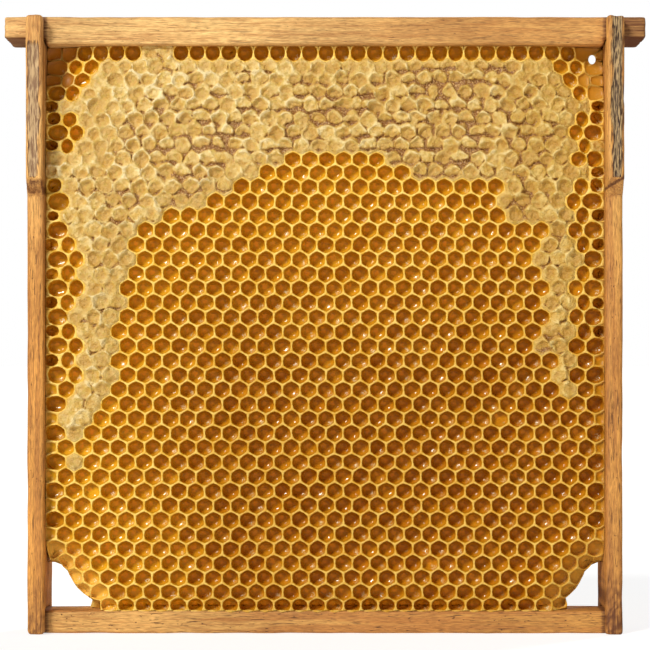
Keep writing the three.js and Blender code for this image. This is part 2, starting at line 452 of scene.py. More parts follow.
# %% Warp the sheet and fit its outline
BORDER_CELL = 4.6 * MM  # the least width of a cell that meets an end bar
SEALED_CELL = 2.7 * MM  # low down, where bees closed these slivers with wax
SEALED_BELOW = {-1: 80 * MM, 1: 95 * MM}
UNEVEN = 0.11 * MM
BORDER_UNEVEN = 0.2 * MM
DRIFT = 0.15 * MM  # how far whole groups of cells stray
DRIFT_SIZES = (30 * MM, 34 * MM)
SHIFT = (0.35 * MM, -0.25 * MM)  # how far the bees began off the middle
PULL_REACH = 4.2 * MM  # an outline point this near to a border is pulled onto it
GAP_ZONE = (15 * MM, 18 * MM)  # from the end bar and from the bottom bar, where the gaps lie
ROW_SLACK = 0.2  # in rows: outline points this far past the last rows meet a bar
SQUEEZED = 0.5 * MM  # points nearer than this are merged


def sealed_height(x):
    """Below this height the slivers beside the end bar are closed with wax."""
    return np.where(x > 0, SEALED_BELOW[1], SEALED_BELOW[-1])


def follow_ends(mesh, places, halfway):
    """Puts every point halfway along a wall in the middle of the wall's ends."""
    ends = ends_of_edges(mesh)
    both_ways = np.vstack([ends, ends[:, ::-1]])
    links = both_ways[halfway[both_ways[:, 0]] & ~halfway[both_ways[:, 1]]]
    for place in places:
        total = np.bincount(links[:, 0], place[links[:, 1]], minlength=len(place))
        place[halfway] = total[halfway] / 2


def warp_sheet(sheet, seed):
    """Deletes the cells outside the opening and fits the others to it."""
    on_outline = delete_outside(sheet)
    mesh = sheet.data
    points = points_of(mesh)
    shared = np.bincount(point_of_corners(mesh), minlength=len(points)) > 1
    halfway = noted(mesh, "halfway") > 0.5
    _, row, x, z = real_places(points)
    rng = np.random.default_rng(seed)
    drift = DRIFT * lumps(x, z, DRIFT_SIZES[0], seed)
    x = x + SHIFT[0] + drift + rng.normal(0, UNEVEN, len(x))
    z = z + SHIFT[1] + DRIFT * lumps(x, z, DRIFT_SIZES[1], seed + 1) + rng.normal(0, UNEVEN, len(z))

    near_gap = np.zeros(len(x), bool)
    for side in (-1, 1):
        away, target = nearest_on_edge(side, x, z)
        pulled = on_outline & (in_gap(side, x, z) | (away < PULL_REACH))
        pulled &= (np.abs(x) > WALL - GAP_ZONE[0]) & (z < FLOOR + GAP_ZONE[1])
        x[pulled], z[pulled] = target[pulled, 0], target[pulled, 1]
        near_gap |= pulled
    top = on_outline & (row > TOP_ROW + ROW_SLACK)
    bottom = on_outline & (row < -ROW_SLACK) & ~near_gap
    beside = on_outline & ~near_gap & (np.abs(x) > WALL - PULL_REACH)
    joins = beside & shared & ~halfway
    z[joins] = row_height(np.round(row[joins] + 0.5) - 0.5)
    x[beside] = np.sign(x[beside]) * WALL
    z[top] = CEILING
    z[bottom] = FLOOR
    border_cell = np.where(z < sealed_height(x), SEALED_CELL, BORDER_CELL)
    inner = ~on_outline & (np.abs(x) > WALL - border_cell)
    pulled_in = WALL - border_cell + rng.normal(0, BORDER_UNEVEN, len(x))
    x[inner] = np.sign(x[inner]) * pulled_in[inner]
    follow_ends(mesh, (x, z), halfway)
    x, z = np.clip(x, -WALL, WALL), np.clip(z, FLOOR, CEILING)
    move_points(mesh, np.column_stack([x, np.zeros(len(x)), z]))

    edit_mode()
    bpy.ops.mesh.select_all(action="SELECT")
    bpy.ops.mesh.remove_doubles(threshold=SQUEEZED)
    bpy.ops.mesh.dissolve_degenerate(threshold=0.1 * MM)
    object_mode()


print("cells beside the end bars are at least", BORDER_CELL / MM, "mm wide, or sealed slivers")

# %% [markdown]
# ## Which cells are open
#
# Bees cap honey when it is ripe, from the top down and from the sides in. What is left open is a dome
# in the middle, the bottom third, a single column beside each end bar, much of the next column,
# nearly all of the row under the top bar, and the top corners, where a few cells were never built.
# Each border of the dome is a list of the places where it turns, joined by straight lines.

# %% Sort the cells
OPEN, CAPPED, UNBUILT = 0, 1, 2
DOME = {  # for each side: heights and how far the dome reaches there, both in mm
    -1: [(45, 82), (50, 77.5), (59, 76), (80, 65.5), (100, 66.5), (113, 60.5), (123, 60), (128, 57),
         (132, 48), (136, 36), (149.4, 11), (152, -8)],
    1: [(60, 88), (77, 73), (86, 72), (91, 65), (100, 70), (104, 67), (109, 70), (118, 65), (127, 70),
        (132, 57), (136, 54), (141, 56.5), (145, 27), (149.4, 19), (152, 9)],
}
DOME_TOP = 151.5 * MM
OPEN_CORNER_REACH = 24.5 * MM  # across and down together
CORNER_UNEVEN = 3 * MM
TOP_ROW_REACH = 4.6 * MM  # from the top bar to the middle of the cells under it, and a little more
TOP_ROW_SEALED = (-58 * MM, -48 * MM)  # the only capped cells of that row
SECOND_COLUMN = (6.3 * MM, 10.2 * MM)  # from the end bar to the middle of these cells
SECOND_COLUMN_HIGH = 125 * MM
SECOND_COLUMN_OPEN = {-1: (0.72, 0.35), 1: (0.97, 0.90)}  # the share below and above that height
FIRST_COLUMN_OPEN = 0.95  # the share above the height under which all of it is open
FIRST_COLUMN_HIGH = 120 * MM
# Unbuilt corners: reach across, down, and of both together, with a weight on the way across.
UNBUILT_CORNERS = {-1: (9 * MM, 13.5 * MM, 18 * MM, 1.1), 1: (8 * MM, 15 * MM, 19 * MM, 1.0)}


def inside_dome(x, z):
    inside = z < DOME_TOP
    for side, border in DOME.items():
        heights, reach = np.array(border).T * MM
        edge = np.where(z < heights[0], WALL, np.interp(z, heights, reach))
        inside &= side * x < edge
    return inside


def sort_cells(x, z, seed, mirrored=False):
    """Gives every cell centre its kind."""
    rng = np.random.default_rng(seed)
    chance = rng.random(len(x))
    if mirrored:
        x = -x
    from_side, from_top = WALL - np.abs(x), CEILING - z
    is_open = inside_dome(x, z)
    likely = (chance < FIRST_COLUMN_OPEN) | (z < FIRST_COLUMN_HIGH)
    is_open |= (from_side < SECOND_COLUMN[0]) & likely
    in_second = (from_side >= SECOND_COLUMN[0]) & (from_side < SECOND_COLUMN[1])
    for side, (low_share, high_share) in SECOND_COLUMN_OPEN.items():
        share = np.where(z > SECOND_COLUMN_HIGH, high_share, low_share)
        is_open |= in_second & (side * x > 0) & (chance < share)
    is_open |= (from_top < TOP_ROW_REACH) & ~((x > TOP_ROW_SEALED[0]) & (x < TOP_ROW_SEALED[1]))
    is_open |= from_side + from_top < OPEN_CORNER_REACH + CORNER_UNEVEN * (chance - 0.5)
    kinds = np.where(is_open, OPEN, CAPPED)
    for side, (across, down, together, weight) in UNBUILT_CORNERS.items():
        empty = (side * x > 0) & (from_side < across) & (from_top < down)
        kinds[empty & (from_side * weight + from_top < together)] = UNBUILT
    return kinds


print("border points of the dome, left and right:", len(DOME[-1]), len(DOME[1]))

# %% [markdown]
# ## Pressing the cells into the sheet
#
# A cell is a well with a thick rounded rim, thin steep walls and a pool of honey at the bottom. It is
# made as a modeller would make it by hand: inset the hexagon a little for the rim, again for the inner
# edge of the rim, and again for the wall, the honey's edge and its middle. The inset operator works on
# all the chosen faces at once, each on its own. After each inset the new ring of points is rounded a
# little and moved to its depth, so the hexagon turns into the soft round mouth of a real cell.

# %% Inset the cells ring by ring
# For each ring: its inset, its depth below the mouth, and how far its corners are rounded.
RINGS = [
    (0.12 * MM, 0.03 * MM, 0.50),
    (0.09 * MM, 0.25 * MM, 0.50),
    (0.04 * MM, 1.10 * MM, 0.20),
    (0.15 * MM, 2.60 * MM, 0.20),
    (0.40 * MM, 3.20 * MM, 0.20),
    (0.70 * MM, 3.45 * MM, 0.20),
]
FILL_FROM = 2  # rings from this one on follow how full the cell is


def ring_loops(mesh, chosen):
    """For the chosen faces: the vertex at every face corner, and those before and after it."""
    corner_vertex = point_of_corners(mesh)
    starts, totals = starts_of_faces(mesh)[chosen], sides_of_faces(mesh)[chosen]
    face = np.repeat(np.arange(len(starts)), totals)
    step = np.arange(len(face)) - np.repeat(np.cumsum(totals) - totals, totals)
    after = starts[face] + (step + 1) % totals[face]
    before = starts[face] + (step - 1) % totals[face]
    return face, corner_vertex[starts[face] + step], corner_vertex[before], corner_vertex[after]


def cell_numbers(mesh):
    numbers = np.zeros(len(mesh.polygons), int)
    mesh.attributes["cell"].data.foreach_get("value", numbers)
    return numbers


def press_cells(sheet, chosen_cells, rings, depth_scale):
    """Insets the chosen cells ring by ring, and notes how deep in its cell every point lies."""
    mesh = sheet.data
    for number, (width, depth, rounding) in enumerate(rings):
        if number == 0:
            select_faces(mesh, np.isin(cell_numbers(mesh), chosen_cells))
        edit_mode()
        bpy.ops.mesh.inset(thickness=width, depth=0, use_individual=True, use_even_offset=False)
        object_mode()
        chosen = selected_faces(mesh)
        face, vertex, before, after = ring_loops(mesh, chosen)
        cells = cell_numbers(mesh)[chosen][face]
        points = points_of(mesh)
        soft = 0.5 * points[vertex] + 0.25 * (points[before] + points[after])
        points[vertex] += rounding * (soft - points[vertex])
        fill = depth_scale[cells] if number >= FILL_FROM else 1.0
        points[vertex, 1] = depth * fill
        move_points(mesh, points)
        for name, values in (("rank", number + 1), ("owner", cells)):
            kept = noted(mesh, name)
            kept[vertex] = values
            note(mesh, name, kept)


print("rings in a cell:", len(RINGS))

# %% [markdown]
# ## Copies, outlines and closed backs
#
# A sheet has no thickness, and a real piece of wax does. So its outline is pushed straight back to a
# plane and closed there. The outline of the cells takes one flat face, because triangles would be
# slivers along its straight edges. The lids' outline is filled with triangles instead, because the
# sealed area can be in several parts and have holes in it.

# %% Copy, delete and close
def copy_of(piece, name):
    twin = piece.copy()
    twin.data = piece.data.copy()
    twin.name = twin.data.name = name
    bpy.context.scene.collection.objects.link(twin)
    return twin


def delete_faces(piece, chosen):
    make_active(piece)
    select_faces(piece.data, chosen)
    edit_mode()
    bpy.ops.mesh.delete(type="FACE")
    object_mode()


def outline_edges(mesh):
    """Which edges have a face on one side only."""
    uses = np.zeros(len(mesh.edges), int)
    corner_edge = np.zeros(len(mesh.loops), int)
    mesh.loops.foreach_get("edge_index", corner_edge)
    np.add.at(uses, corner_edge, 1)
    return uses == 1


def select_edges(mesh, chosen):
    mesh.polygons.foreach_set("select", np.zeros(len(mesh.polygons), bool))
    mesh.edges.foreach_set("select", chosen)
    in_use = np.zeros(len(mesh.vertices), bool)
    in_use[ends_of_edges(mesh)[chosen].ravel()] = True
    mesh.vertices.foreach_set("select", in_use)


def close_back(piece, back_plane, one_outline):
    """Pulls the outline of a sheet straight back to a plane and closes it there.

    one_outline says whether the outline is a single ring, which can take one flat face.
    """
    make_active(piece)
    mesh = piece.data
    for step in ("walls", "back"):
        old_count = len(mesh.vertices)
        edges = outline_edges(mesh)
        bpy.context.scene.tool_settings.mesh_select_mode = (False, True, False)
        select_edges(mesh, edges)
        edit_mode()
        if step == "walls":
            bpy.ops.mesh.extrude_region_move()
        elif one_outline:
            bpy.ops.mesh.edge_face_add()
        else:
            bpy.ops.mesh.fill(use_beauty=False)
        object_mode()
        if step == "walls":
            points = points_of(mesh)
            points[old_count:, 1] = back_plane
            move_points(mesh, points)
    bpy.context.scene.tool_settings.mesh_select_mode = (False, False, True)
    edit_mode()
    bpy.ops.mesh.select_all(action="SELECT")
    bpy.ops.mesh.normals_make_consistent(inside=False)
    object_mode()


print("sheets can be closed")

# %% [markdown]
# ## Where in the comb, and where in its cell, a point lies
#
# Later steps ask which cells lie nearest to a point, how newly built the comb is there, and which
# corners of the sheet have only sealed or only unbuilt cells round them.

# %% Ask about places
YOUNG_REACH = 10 * MM  # how far from a free edge the cells are still being built


def nearest_places(points, x, z, count):
    """The listed places nearest to each point, and how far across and up from them it lies."""
    tree = kdtree.KDTree(len(x))
    for number, place in enumerate(zip(x, z)):
        tree.insert((place[0], 0, place[1]), number)
    tree.balance()
    found = [[hit[1] for hit in tree.find_n((px, 0, pz), count)] for px, _, pz in points]
    found = np.array(found)
    return found, points[:, 0][:, None] - x[found], points[:, 2][:, None] - z[found]


def youth(x, z):
    """How newly built the comb is, from 1 at a free edge to 0."""
    away = np.minimum(nearest_on_edge(-1, x, z)[0], nearest_on_edge(1, x, z)[0])
    return smoothstep(away, YOUNG_REACH, 1 * MM)


def amid(mesh, chosen):
    """Which corners of the sheet have only chosen cells round them."""
    inside = np.ones(len(mesh.vertices), bool)
    inside[point_of_corners(mesh)[np.repeat(~chosen, sides_of_faces(mesh))]] = False
    return inside


print("newly built comb reaches", YOUNG_REACH / MM, "mm from its free edges")

# %% [markdown]
# ## Round mouths along the wood
#
# A cell beside the wood has no neighbour there to share a wall with, and it comes out oval. The rings
# of those cells are measured and turned into ovals of the same width and height, a little narrower
# in the columns beside the end bars.

# %% Turn squeezed cells into ovals
BORDER_ROUND = 0.85  # how nearly the mouths beside the wood are round or oval
BORDER_NARROW = 0.14  # how much narrower they are than their place
BORDER_REACH = 10 * MM  # from the end bar, over two columns
BOTTOM_ROW_REACH = 3.6 * MM
RING_SLOTS = 10  # more than the rings in a cell, to number every ring of every cell


def along_wood(x, z):
    """Which cells meet or nearly meet a bar."""
    beside = (WALL - np.abs(x) < BORDER_REACH) & (z > sealed_height(x))
    return beside | (CEILING - z < TOP_ROW_REACH) | (z - FLOOR < BOTTOM_ROW_REACH)


def round_mouths(mesh, points, x, z, chosen):
    """Turns the rings of the chosen cells into ovals."""
    rank, owner = noted(mesh, "rank").round().astype(int), noted(mesh, "owner").round().astype(int)
    across, up = points[:, 0] - x[owner], points[:, 2] - z[owner]
    ring = owner * RING_SLOTS + rank
    extents = np.zeros((2, ring.max() + 1))
    np.maximum.at(extents[0], ring, np.abs(across))
    np.maximum.at(extents[1], ring, np.abs(up))
    wide, tall = np.maximum(extents[:, ring], 0.1 * MM)
    turn = np.arctan2(up / tall, across / wide)
    share = BORDER_ROUND * (chosen[owner] & (rank > 0))
    narrower = 1 - BORDER_NARROW * (WALL - np.abs(x[owner]) < BORDER_REACH)
    points[:, 0] += share * (wide * np.cos(turn) * narrower - across)
    points[:, 2] += share * (tall * np.sin(turn) - up)


print("mouths along the wood are", BORDER_ROUND, "of the way to round")

# %% [markdown]
# ## One side of the comb
#
# The two sides of a comb are built apart by the bees, with the cells of one side set off by half a
# cell, so each side is a piece of its own, and the second is not a mirror image of the first. A side
# starts as the flat sheet. A copy of its capped cells is kept for the lids. Then the cells are
# pressed, the sheet is brought out to the depth of the mouths, and its back is closed just short of
# the middle of the comb, which makes it a solid block of wax.

# %% Build a side
# Rings as above, for the seats of the lids, for slivers beside the wood and for unbuilt cells.
CAP_SEAT_RINGS = [(0.4 * MM, 0.5 * MM, 0.3), (0.5 * MM, 1.0 * MM, 0.3)]
SLIVER_RINGS = [(0.20 * MM, 0.35 * MM, 0.4), (0.30 * MM, 0.90 * MM, 0.4)]
BARE_RINGS = [(0.16 * MM, 0.02 * MM, 0.5), (0.16 * MM, 0.40 * MM, 0.5), (0.45 * MM, 0.70 * MM, 0.4)]
CAP_SEAT = 0.7 * MM  # how far the walls under the lids stay back
BARE_DEPTH = 1.2 * MM  # how far back the unbuilt corner lies
MIDDLE_GAP = 0.02 * MM  # from the middle of the comb to the back of each side
MIDDLE_WAX = 1.0 * MM  # at least this much is left behind a honey pool
FILLS = (0.86, 1.12)  # shares of the depth in RINGS
FULL_SHARE = 0.01  # of the cells are full nearly to the brim
FULL_FILL = 0.62
YOUNG_SHALLOWER = 0.30
SLIM_CELL = 15.5 * MM * MM  # slimmer cells of the second column are waxed over
SLIM_FROM_SIDE = 4.4 * MM
SLIM_HEIGHTS = (110 * MM, CEILING - 6 * MM)
SMALLEST_CELL = 7 * MM * MM  # a smaller one has no room for all the rings
SLIVER_WIDTH = 1.8 * MM
STUCK_REACH = 0.36 * MM  # ring points this near to the wood lie along it
STUCK_GAP = 0.06 * MM  # and this far from it


def number_cells(sheet):
    """Gives every face its own cell number and adds the attributes that the later steps fill."""
    mesh = sheet.data
    mesh.attributes.new("cell", "INT", "FACE")
    mesh.attributes["cell"].data.foreach_set("value", np.arange(len(mesh.polygons)))
    for name in ("rank", "owner"):
        mesh.attributes.new(name, "FLOAT", "POINT")


def lay_on_wood(mesh, points):
    """Lays ring points that nearly touch a bar in a line along it."""
    in_ring = noted(mesh, "rank") > 0
    beside = in_ring & (np.abs(points[:, 0]) > WALL - STUCK_REACH)
    points[beside, 0] = np.sign(points[beside, 0]) * (WALL - STUCK_GAP)
    under = in_ring & (points[:, 2] > CEILING - STUCK_REACH)
    points[under, 2] = CEILING - STUCK_GAP


def make_side(side, seed):
    """Builds one side of the comb, facing -Y. The second side is turned round afterwards."""
    name = "front" if side < 0 else "back"
    sheet = hexagon_sheet("comb_cells_" + name, set_off=0 if side < 0 else 0.5)
    warp_sheet(sheet, seed)
    number_cells(sheet)
    mesh = sheet.data
    centres = face_centres(mesh)
    x, z = centres[:, 0], centres[:, 2]
    from_side = WALL - np.abs(x)
    kinds = sort_cells(x, z, seed + 2, mirrored=side > 0)
    area = np.zeros(len(mesh.polygons))
    mesh.polygons.foreach_get("area", area)
    slim = (area < SLIM_CELL) & (from_side > SLIM_FROM_SIDE) & (z > SLIM_HEIGHTS[0]) & (z < SLIM_HEIGHTS[1])
    kinds[slim & (kinds == OPEN)] = CAPPED
    too_small = (area < SMALLEST_CELL) | ((from_side < SLIVER_WIDTH) & (z < sealed_height(x)))
    rng = np.random.default_rng(seed + 3)
    fill = rng.uniform(*FILLS, len(x))
    fill[rng.random(len(x)) < FULL_SHARE] = FULL_FILL
    space = mouth_depth(x, z, side) - MIDDLE_WAX
    fill = np.minimum(fill * (1 - YOUNG_SHALLOWER * youth(x, z)), space / RINGS[-1][1])

    lids = copy_of(sheet, "cappings_" + name)
    delete_faces(lids, kinds != CAPPED)
    make_active(sheet)
    cells, evenly = np.arange(len(x)), np.ones(len(x))
    under, bare = amid(mesh, kinds == CAPPED), amid(mesh, kinds == UNBUILT)
    press_cells(sheet, cells[(kinds == OPEN) & ~too_small], RINGS, fill)
    press_cells(sheet, cells[(kinds == OPEN) & too_small], SLIVER_RINGS, evenly)
    press_cells(sheet, cells[kinds == UNBUILT], BARE_RINGS, evenly)
    press_cells(sheet, cells[kinds == CAPPED], CAP_SEAT_RINGS, evenly)
    points = points_of(mesh)
    round_mouths(mesh, points, x, z, (kinds == OPEN) & ~too_small & along_wood(x, z))
    points[:len(under), 1] += CAP_SEAT * under + BARE_DEPTH * bare
    lay_on_wood(mesh, points)
    points[:, 1] -= mouth_depth(points[:, 0], points[:, 2], side)
    move_points(mesh, points)
    close_back(sheet, -MIDDLE_GAP, one_outline=True)
    print(sheet.name, "has", int((kinds == OPEN).sum()), "open and", int((kinds == CAPPED).sum()),
          "capped cells,", triangles(sheet), "triangles,", int(too_small.sum()), "too small to press")
    return sheet, lids, {"x": x, "z": z, "kind": kinds, "chance": rng.random(len(x))}


front, front_lids, front_cells = make_side(-1, seed=11)
back, back_lids, back_cells = make_side(1, seed=47)

# %% [markdown]
# ## Wax lids over the ripe honey
#
# Each lid is a thin cup of new wax laid over one cell: a raised soft rim, a sunken middle, and a dip
# where three lids meet. Side by side they make one continuous bumpy skin. Sculpting that by hand
# would be endless, so the capped hexagons are inset a few times and subdivided once, which gives an
# even fine mesh, and then every point is raised by its place in its own lid.

# %% A fine even mesh for the lids
LID_INSETS = [0.38 * MM, 0.42 * MM, 0.46 * MM, 0.46 * MM]


def refine_lids(lids):
    make_active(lids)
    select_faces(lids.data, np.ones(len(lids.data.polygons), bool))
    for width in LID_INSETS:
        edit_mode()
        bpy.ops.mesh.inset(thickness=width, depth=0, use_individual=True, use_even_offset=False)
        object_mode()
    apply_modifier(lids, "SUBSURF", levels=1, render_levels=1, boundary_smooth="PRESERVE_CORNERS")


def distance_to_outline(mesh, points):
    rim = np.unique(ends_of_edges(mesh)[outline_edges(mesh)])
    tree = kdtree.KDTree(len(rim))
    for number, index in enumerate(rim):
        tree.insert(points[index], number)
    tree.balance()
    return np.array([tree.find(point)[2] for point in points])


for lids in (front_lids, back_lids):
    refine_lids(lids)
    print(lids.name, triangles(lids), "triangles before its back is closed")

# %% [markdown]
# ## Where honey has soaked the lids
#
# Honey wets the wax from below, unevenly over the comb: most along a band across the sealed area,
# least at the very top and towards the end bars. Two soft patterns say how soaked and how old the
# lids are at any place.

# %% Soaked and aged lids
SOAKED_EVERYWHERE = 0.60
SOAKED_BAND = (160 * MM, 14 * MM)  # its height and half its width
PATCH_SIZE = 17 * MM
PATCH_SEED = 71


def brownness(x, z):
    """How far honey has soaked the lids, from 0 to 1."""
    share = SOAKED_EVERYWHERE + 0.35 * lumps(x, z, PATCH_SIZE, PATCH_SEED) + 0.30 * x / WALL
    share += 0.3 * np.exp(-(((z - SOAKED_BAND[0]) / SOAKED_BAND[1]) ** 2))
    share -= 0.35 * smoothstep(z, 172 * MM, 180 * MM)
    share -= 0.25 * smoothstep(-x, 60 * MM, 75 * MM) + 0.35 * smoothstep(x, 60 * MM, 74 * MM)
    return np.clip(share, 0, 1)


def lid_age(x, z):
    """How dark old wax makes the lids: more on one side and low down, from 0 to 1."""
    age = 0.55 * smoothstep(x, -50 * MM, 20 * MM) + 0.45 * smoothstep(x, 50 * MM, 66 * MM)
    return np.clip(age + 0.45 * smoothstep(-z, -152 * MM, -125 * MM), 0, 1)


print("soaked in the middle of the band:", round(float(brownness(0, SOAKED_BAND[0])), 2))

# %% [markdown]
# ## Raising the lids
#
# Every point knows its four nearest cells. Those give it a share of each lid's own height, sag and
# lean, softly mixed so that one lid runs into the next. A ridge stands between two lids, in places
# only. A pit lies where three meet, or where honey shows through: how far a wet patch climbs into the
# lid above it is drawn for each lid. The skin's outline sinks onto the rims of the open cells.

# %% Raise the lids
LID_RISE = 0.95 * MM  # of the skin above the rims of the open cells
LID_HEIGHTS = (0.25, 1.05)  # in mm, of the ridges round a lid
LID_SAGS = (0.10, 1.00)  # in mm, of the middle of a lid
LID_LEAN = 0.07  # how unevenly the lids lie
LID_TILT = 0.04  # how much further out their upper edges are
LID_STEP = 0.18  # in mm, from one lid to the next
LID_SHIFT = 0.20  # in mm, of a lid off the middle of its cell
LID_RADIUS = 2.84 * MM
LID_SPREAD = 0.30 * MM  # how much wider the lids are where no honey shows between them
LID_CLIMB = 3.4 * MM  # how far the wet patches may climb into the lid above them
LID_RIDGE = 0.34 * MM  # half the width of the ridge between two lids
LID_BLEND = 0.30 * MM  # how softly one lid runs into the next
LID_PIT = 0.95 * MM  # the depth of the pits where three lids meet
LID_WANDER = 0.55 * MM  # how far the lids' outlines stray from true hexagons
LID_BACK = -4 * MM
LID_LEAN_IN = 1.4 * MM  # how fast the skin comes down to the open cells
LID_SEATING = 0.06 * MM  # how deep the outline sinks below the mouths
PIT_EDGE = 0.32 * MM  # half the width of a pit's slope
PIT_RAGGED = (0.52 * MM, 0.24 * MM)  # how far the pits' outlines stray, in large and small waves
FOLD_HEIGHT = 0.30 * MM
FOLD_SIZES = (1.7 * MM, 0.85 * MM)  # of the old folds and the fine wrinkles in the skin
CLIMB_FADES = (42 * MM, 62 * MM)  # across, where the wet patches climb less


def raise_lids(lids, cells, side, seed):
    mesh = lids.data
    points = points_of(mesh)
    x, z = points[:, 0], points[:, 2]
    rng = np.random.default_rng(seed)
    count = len(cells["x"])
    wander_x = LID_WANDER * lumps(x, z, 2.3 * MM, seed + 4)[:, None]
    wander_z = LID_WANDER * lumps(x, z, 2.3 * MM, seed + 5)[:, None]
    found, across, up = nearest_places(points, cells["x"], cells["z"], 4)
    shift = rng.normal(0, LID_SHIFT, (2, count))[:, found] * MM
    across, up = across + wander_x - shift[0], up + wander_z - shift[1]
    away = np.hypot(across, up)
    two_nearest = np.sort(away, axis=1)[:, :2]
    border = (two_nearest[:, 1] - two_nearest[:, 0]) / 2
    share = np.exp(-(away - two_nearest[:, :1]) / LID_BLEND)
    share /= share.sum(axis=1)[:, None]

    def of_lids(values):
        """One value for each point, mixed from those of its nearest lids."""
        return (share * values).sum(axis=1)

    upright = up / np.maximum(away, 0.1 * MM)
    height = of_lids(rng.uniform(*LID_HEIGHTS, count)[found] + 0.30 * upright) * MM
    sag = of_lids(rng.uniform(*LID_SAGS, count)[found]) * MM
    lean = rng.normal(0, LID_LEAN, (2, count))[:, found]
    step = rng.normal(0, LID_STEP, count)[found] * MM
    slope = of_lids(lean[0] * across + (lean[1] + LID_TILT) * up + step)
    ridge_share = np.clip(0.45 + 1.3 * lumps(x, z, 2.2 * MM, seed + 7), 0, 1.5)
    ridge = height * ridge_share * np.exp(-((border / LID_RIDGE) ** 2))
    bowl = -sag * smoothstep(border, 0.35 * MM, 1.5 * MM)
    relief = ridge + bowl + slope + FOLD_HEIGHT * lumps(x, z, FOLD_SIZES[0], seed + 1)
    relief += FOLD_HEIGHT * lumps(x, z, FOLD_SIZES[1], seed + 2)

    soaked = brownness(x, z)
    climb = LID_CLIMB * (rng.random(count) ** 1.2)[found] * smoothstep(-upright, -0.2, 0.8)
    climb *= 1 - 0.65 * smoothstep(np.abs(x), *CLIMB_FADES)[:, None]
    reach = rng.normal(LID_RADIUS, 0.20 * MM, count)[found] + 0.50 * MM * upright
    in_pit = (away - reach + climb * soaked[:, None]).min(axis=1) - LID_SPREAD * (1 - 1.8 * soaked)
    in_pit += PIT_RAGGED[0] * lumps(x, z, 1.7 * MM, seed + 8)
    in_pit += PIT_RAGGED[1] * lumps(x, z, 0.8 * MM, seed + 9)
    pit = smoothstep(in_pit, -PIT_EDGE, PIT_EDGE)
    relief = relief * (1 - 0.6 * pit) - LID_PIT * pit
    edge = smoothstep(distance_to_outline(mesh, points), 0, LID_LEAN_IN)
    points[:, 1] = -(mouth_depth(x, z, side) - LID_SEATING + edge * (LID_RISE + relief))
    move_points(mesh, points)

    note(mesh, "damp", smoothstep(in_pit, -0.30 * MM, 0.34 * MM) * edge)
    note(mesh, "age", lid_age(x, z))
    note(mesh, "relief", relief / MM * edge)
    close_back(lids, LID_BACK, one_outline=False)
    print(lids.name, triangles(lids), "triangles")


raise_lids(front_lids, front_cells, -1, seed=23)
raise_lids(back_lids, back_cells, 1, seed=59)

# %% [markdown]
# ## Notes for the materials
#
# Some colour belongs to a place in a cell: the rim is pale, the wall amber, the honey brown with a
# glow on one side. Painting a thousand cells isn't sensible, so each point of the mesh carries a few
# numbers that the material reads: its place across and up its own cell, a chance value that is the
# same all over one cell, the tone of the cell, with painted shade where the comb meets wood and a
# little darker on one side, and whether the comb there is young, aged, unbuilt or stained by the wood.

# %% Note each point's place in its cell
STAIN_REACH = (0.55 * MM, 0.15 * MM)  # from the wood


def tone_and_wood_shade_of(x, z, seed):
    """How light the inside of a cell is painted: lower beside the wood, which is painted shade from the
    bars, up to 1 in the middle, a little different from one side to the other and uneven over the comb.
    """
    beside_wood = np.minimum(WALL - np.abs(x), (CEILING - z) * 1.3)
    border = 0.56 + 0.10 * x / WALL
    tone_and_wood_shade = smoothstep(beside_wood, 1 * MM, 9 * MM) * (1 - border) + border
    tone_and_wood_shade *= 0.90 - 0.04 * x / WALL
    return np.clip(tone_and_wood_shade + 0.06 * lumps(x, z, 12 * MM, seed), 0, 1)


def age_of(x, z):
    """How much older and darker the comb looks, from 0 at the top and one edge to 1 low in the middle."""
    age = smoothstep(x, -72 * MM, -20 * MM) * smoothstep(-z, -150 * MM, -50 * MM)
    return np.clip(age + 0.3 * smoothstep(x, 0, 80 * MM), 0, 1)


def note_cells(comb, cells, seed):
    mesh = comb.data
    found, across, up = nearest_places(points_of(mesh), cells["x"], cells["z"], 1)
    note(mesh, "across", across[:, 0] / (PITCH / 2))
    note(mesh, "up", up[:, 0] / (PITCH / 2))
    note(mesh, "chance", cells["chance"][found[:, 0]])
    # the tone holds painted shade where the comb meets the wood
    note(mesh, "tone_and_wood_shade", tone_and_wood_shade_of(cells["x"], cells["z"], seed)[found[:, 0]])
    x, z = points_of(mesh)[:, 0], points_of(mesh)[:, 2]
    note(mesh, "young", youth(x, z))
    note(mesh, "age", age_of(x, z))
    note(mesh, "bare", (cells["kind"][found[:, 0]] == UNBUILT).astype(float))
    note(mesh, "stain", smoothstep(np.minimum(WALL - np.abs(x), CEILING - z), *STAIN_REACH))


note_cells(front, front_cells, seed=31)
note_cells(back, back_cells, seed=67)
print("points with notes:", len(front.data.vertices), len(back.data.vertices))

# %% [markdown]
# ## The second side faces the other way
#
# Both sides were built facing the viewer. Mirroring the second one through the middle of the comb
# puts it in its place, but it also turns its faces inwards, so they are flipped.

# %% Turn the second side round
def turn_round(piece):
    points = points_of(piece.data)
    points[:, 1] *= -1
    move_points(piece.data, points)
    make_active(piece)
    edit_mode()
    bpy.ops.mesh.select_all(action="SELECT")
    bpy.ops.mesh.flip_normals()
    object_mode()


for piece in (back, back_lids):
    turn_round(piece)
print("second side starts", round(points_of(back.data)[:, 1].min() / MM, 2), "mm behind the middle")

# %% [markdown]
# ## The bees' way through
#
# Bees leave a small slanting hole in one top corner, to pass from one side to the other. It is cut as
# a drill would: a cylinder with an oval section is laid through both sides and taken away from them.

# %% Drill the passage
PASSAGE_PLACE = (84.2 * MM, -8 * MM, 180.9 * MM)
PASSAGE_WAY = (0.102, 1.0, 0.115)
PASSAGE_RADII = (1.15 * MM, 1.45 * MM)
PASSAGE_LENGTH = 60 * MM  # longer than the comb is thick

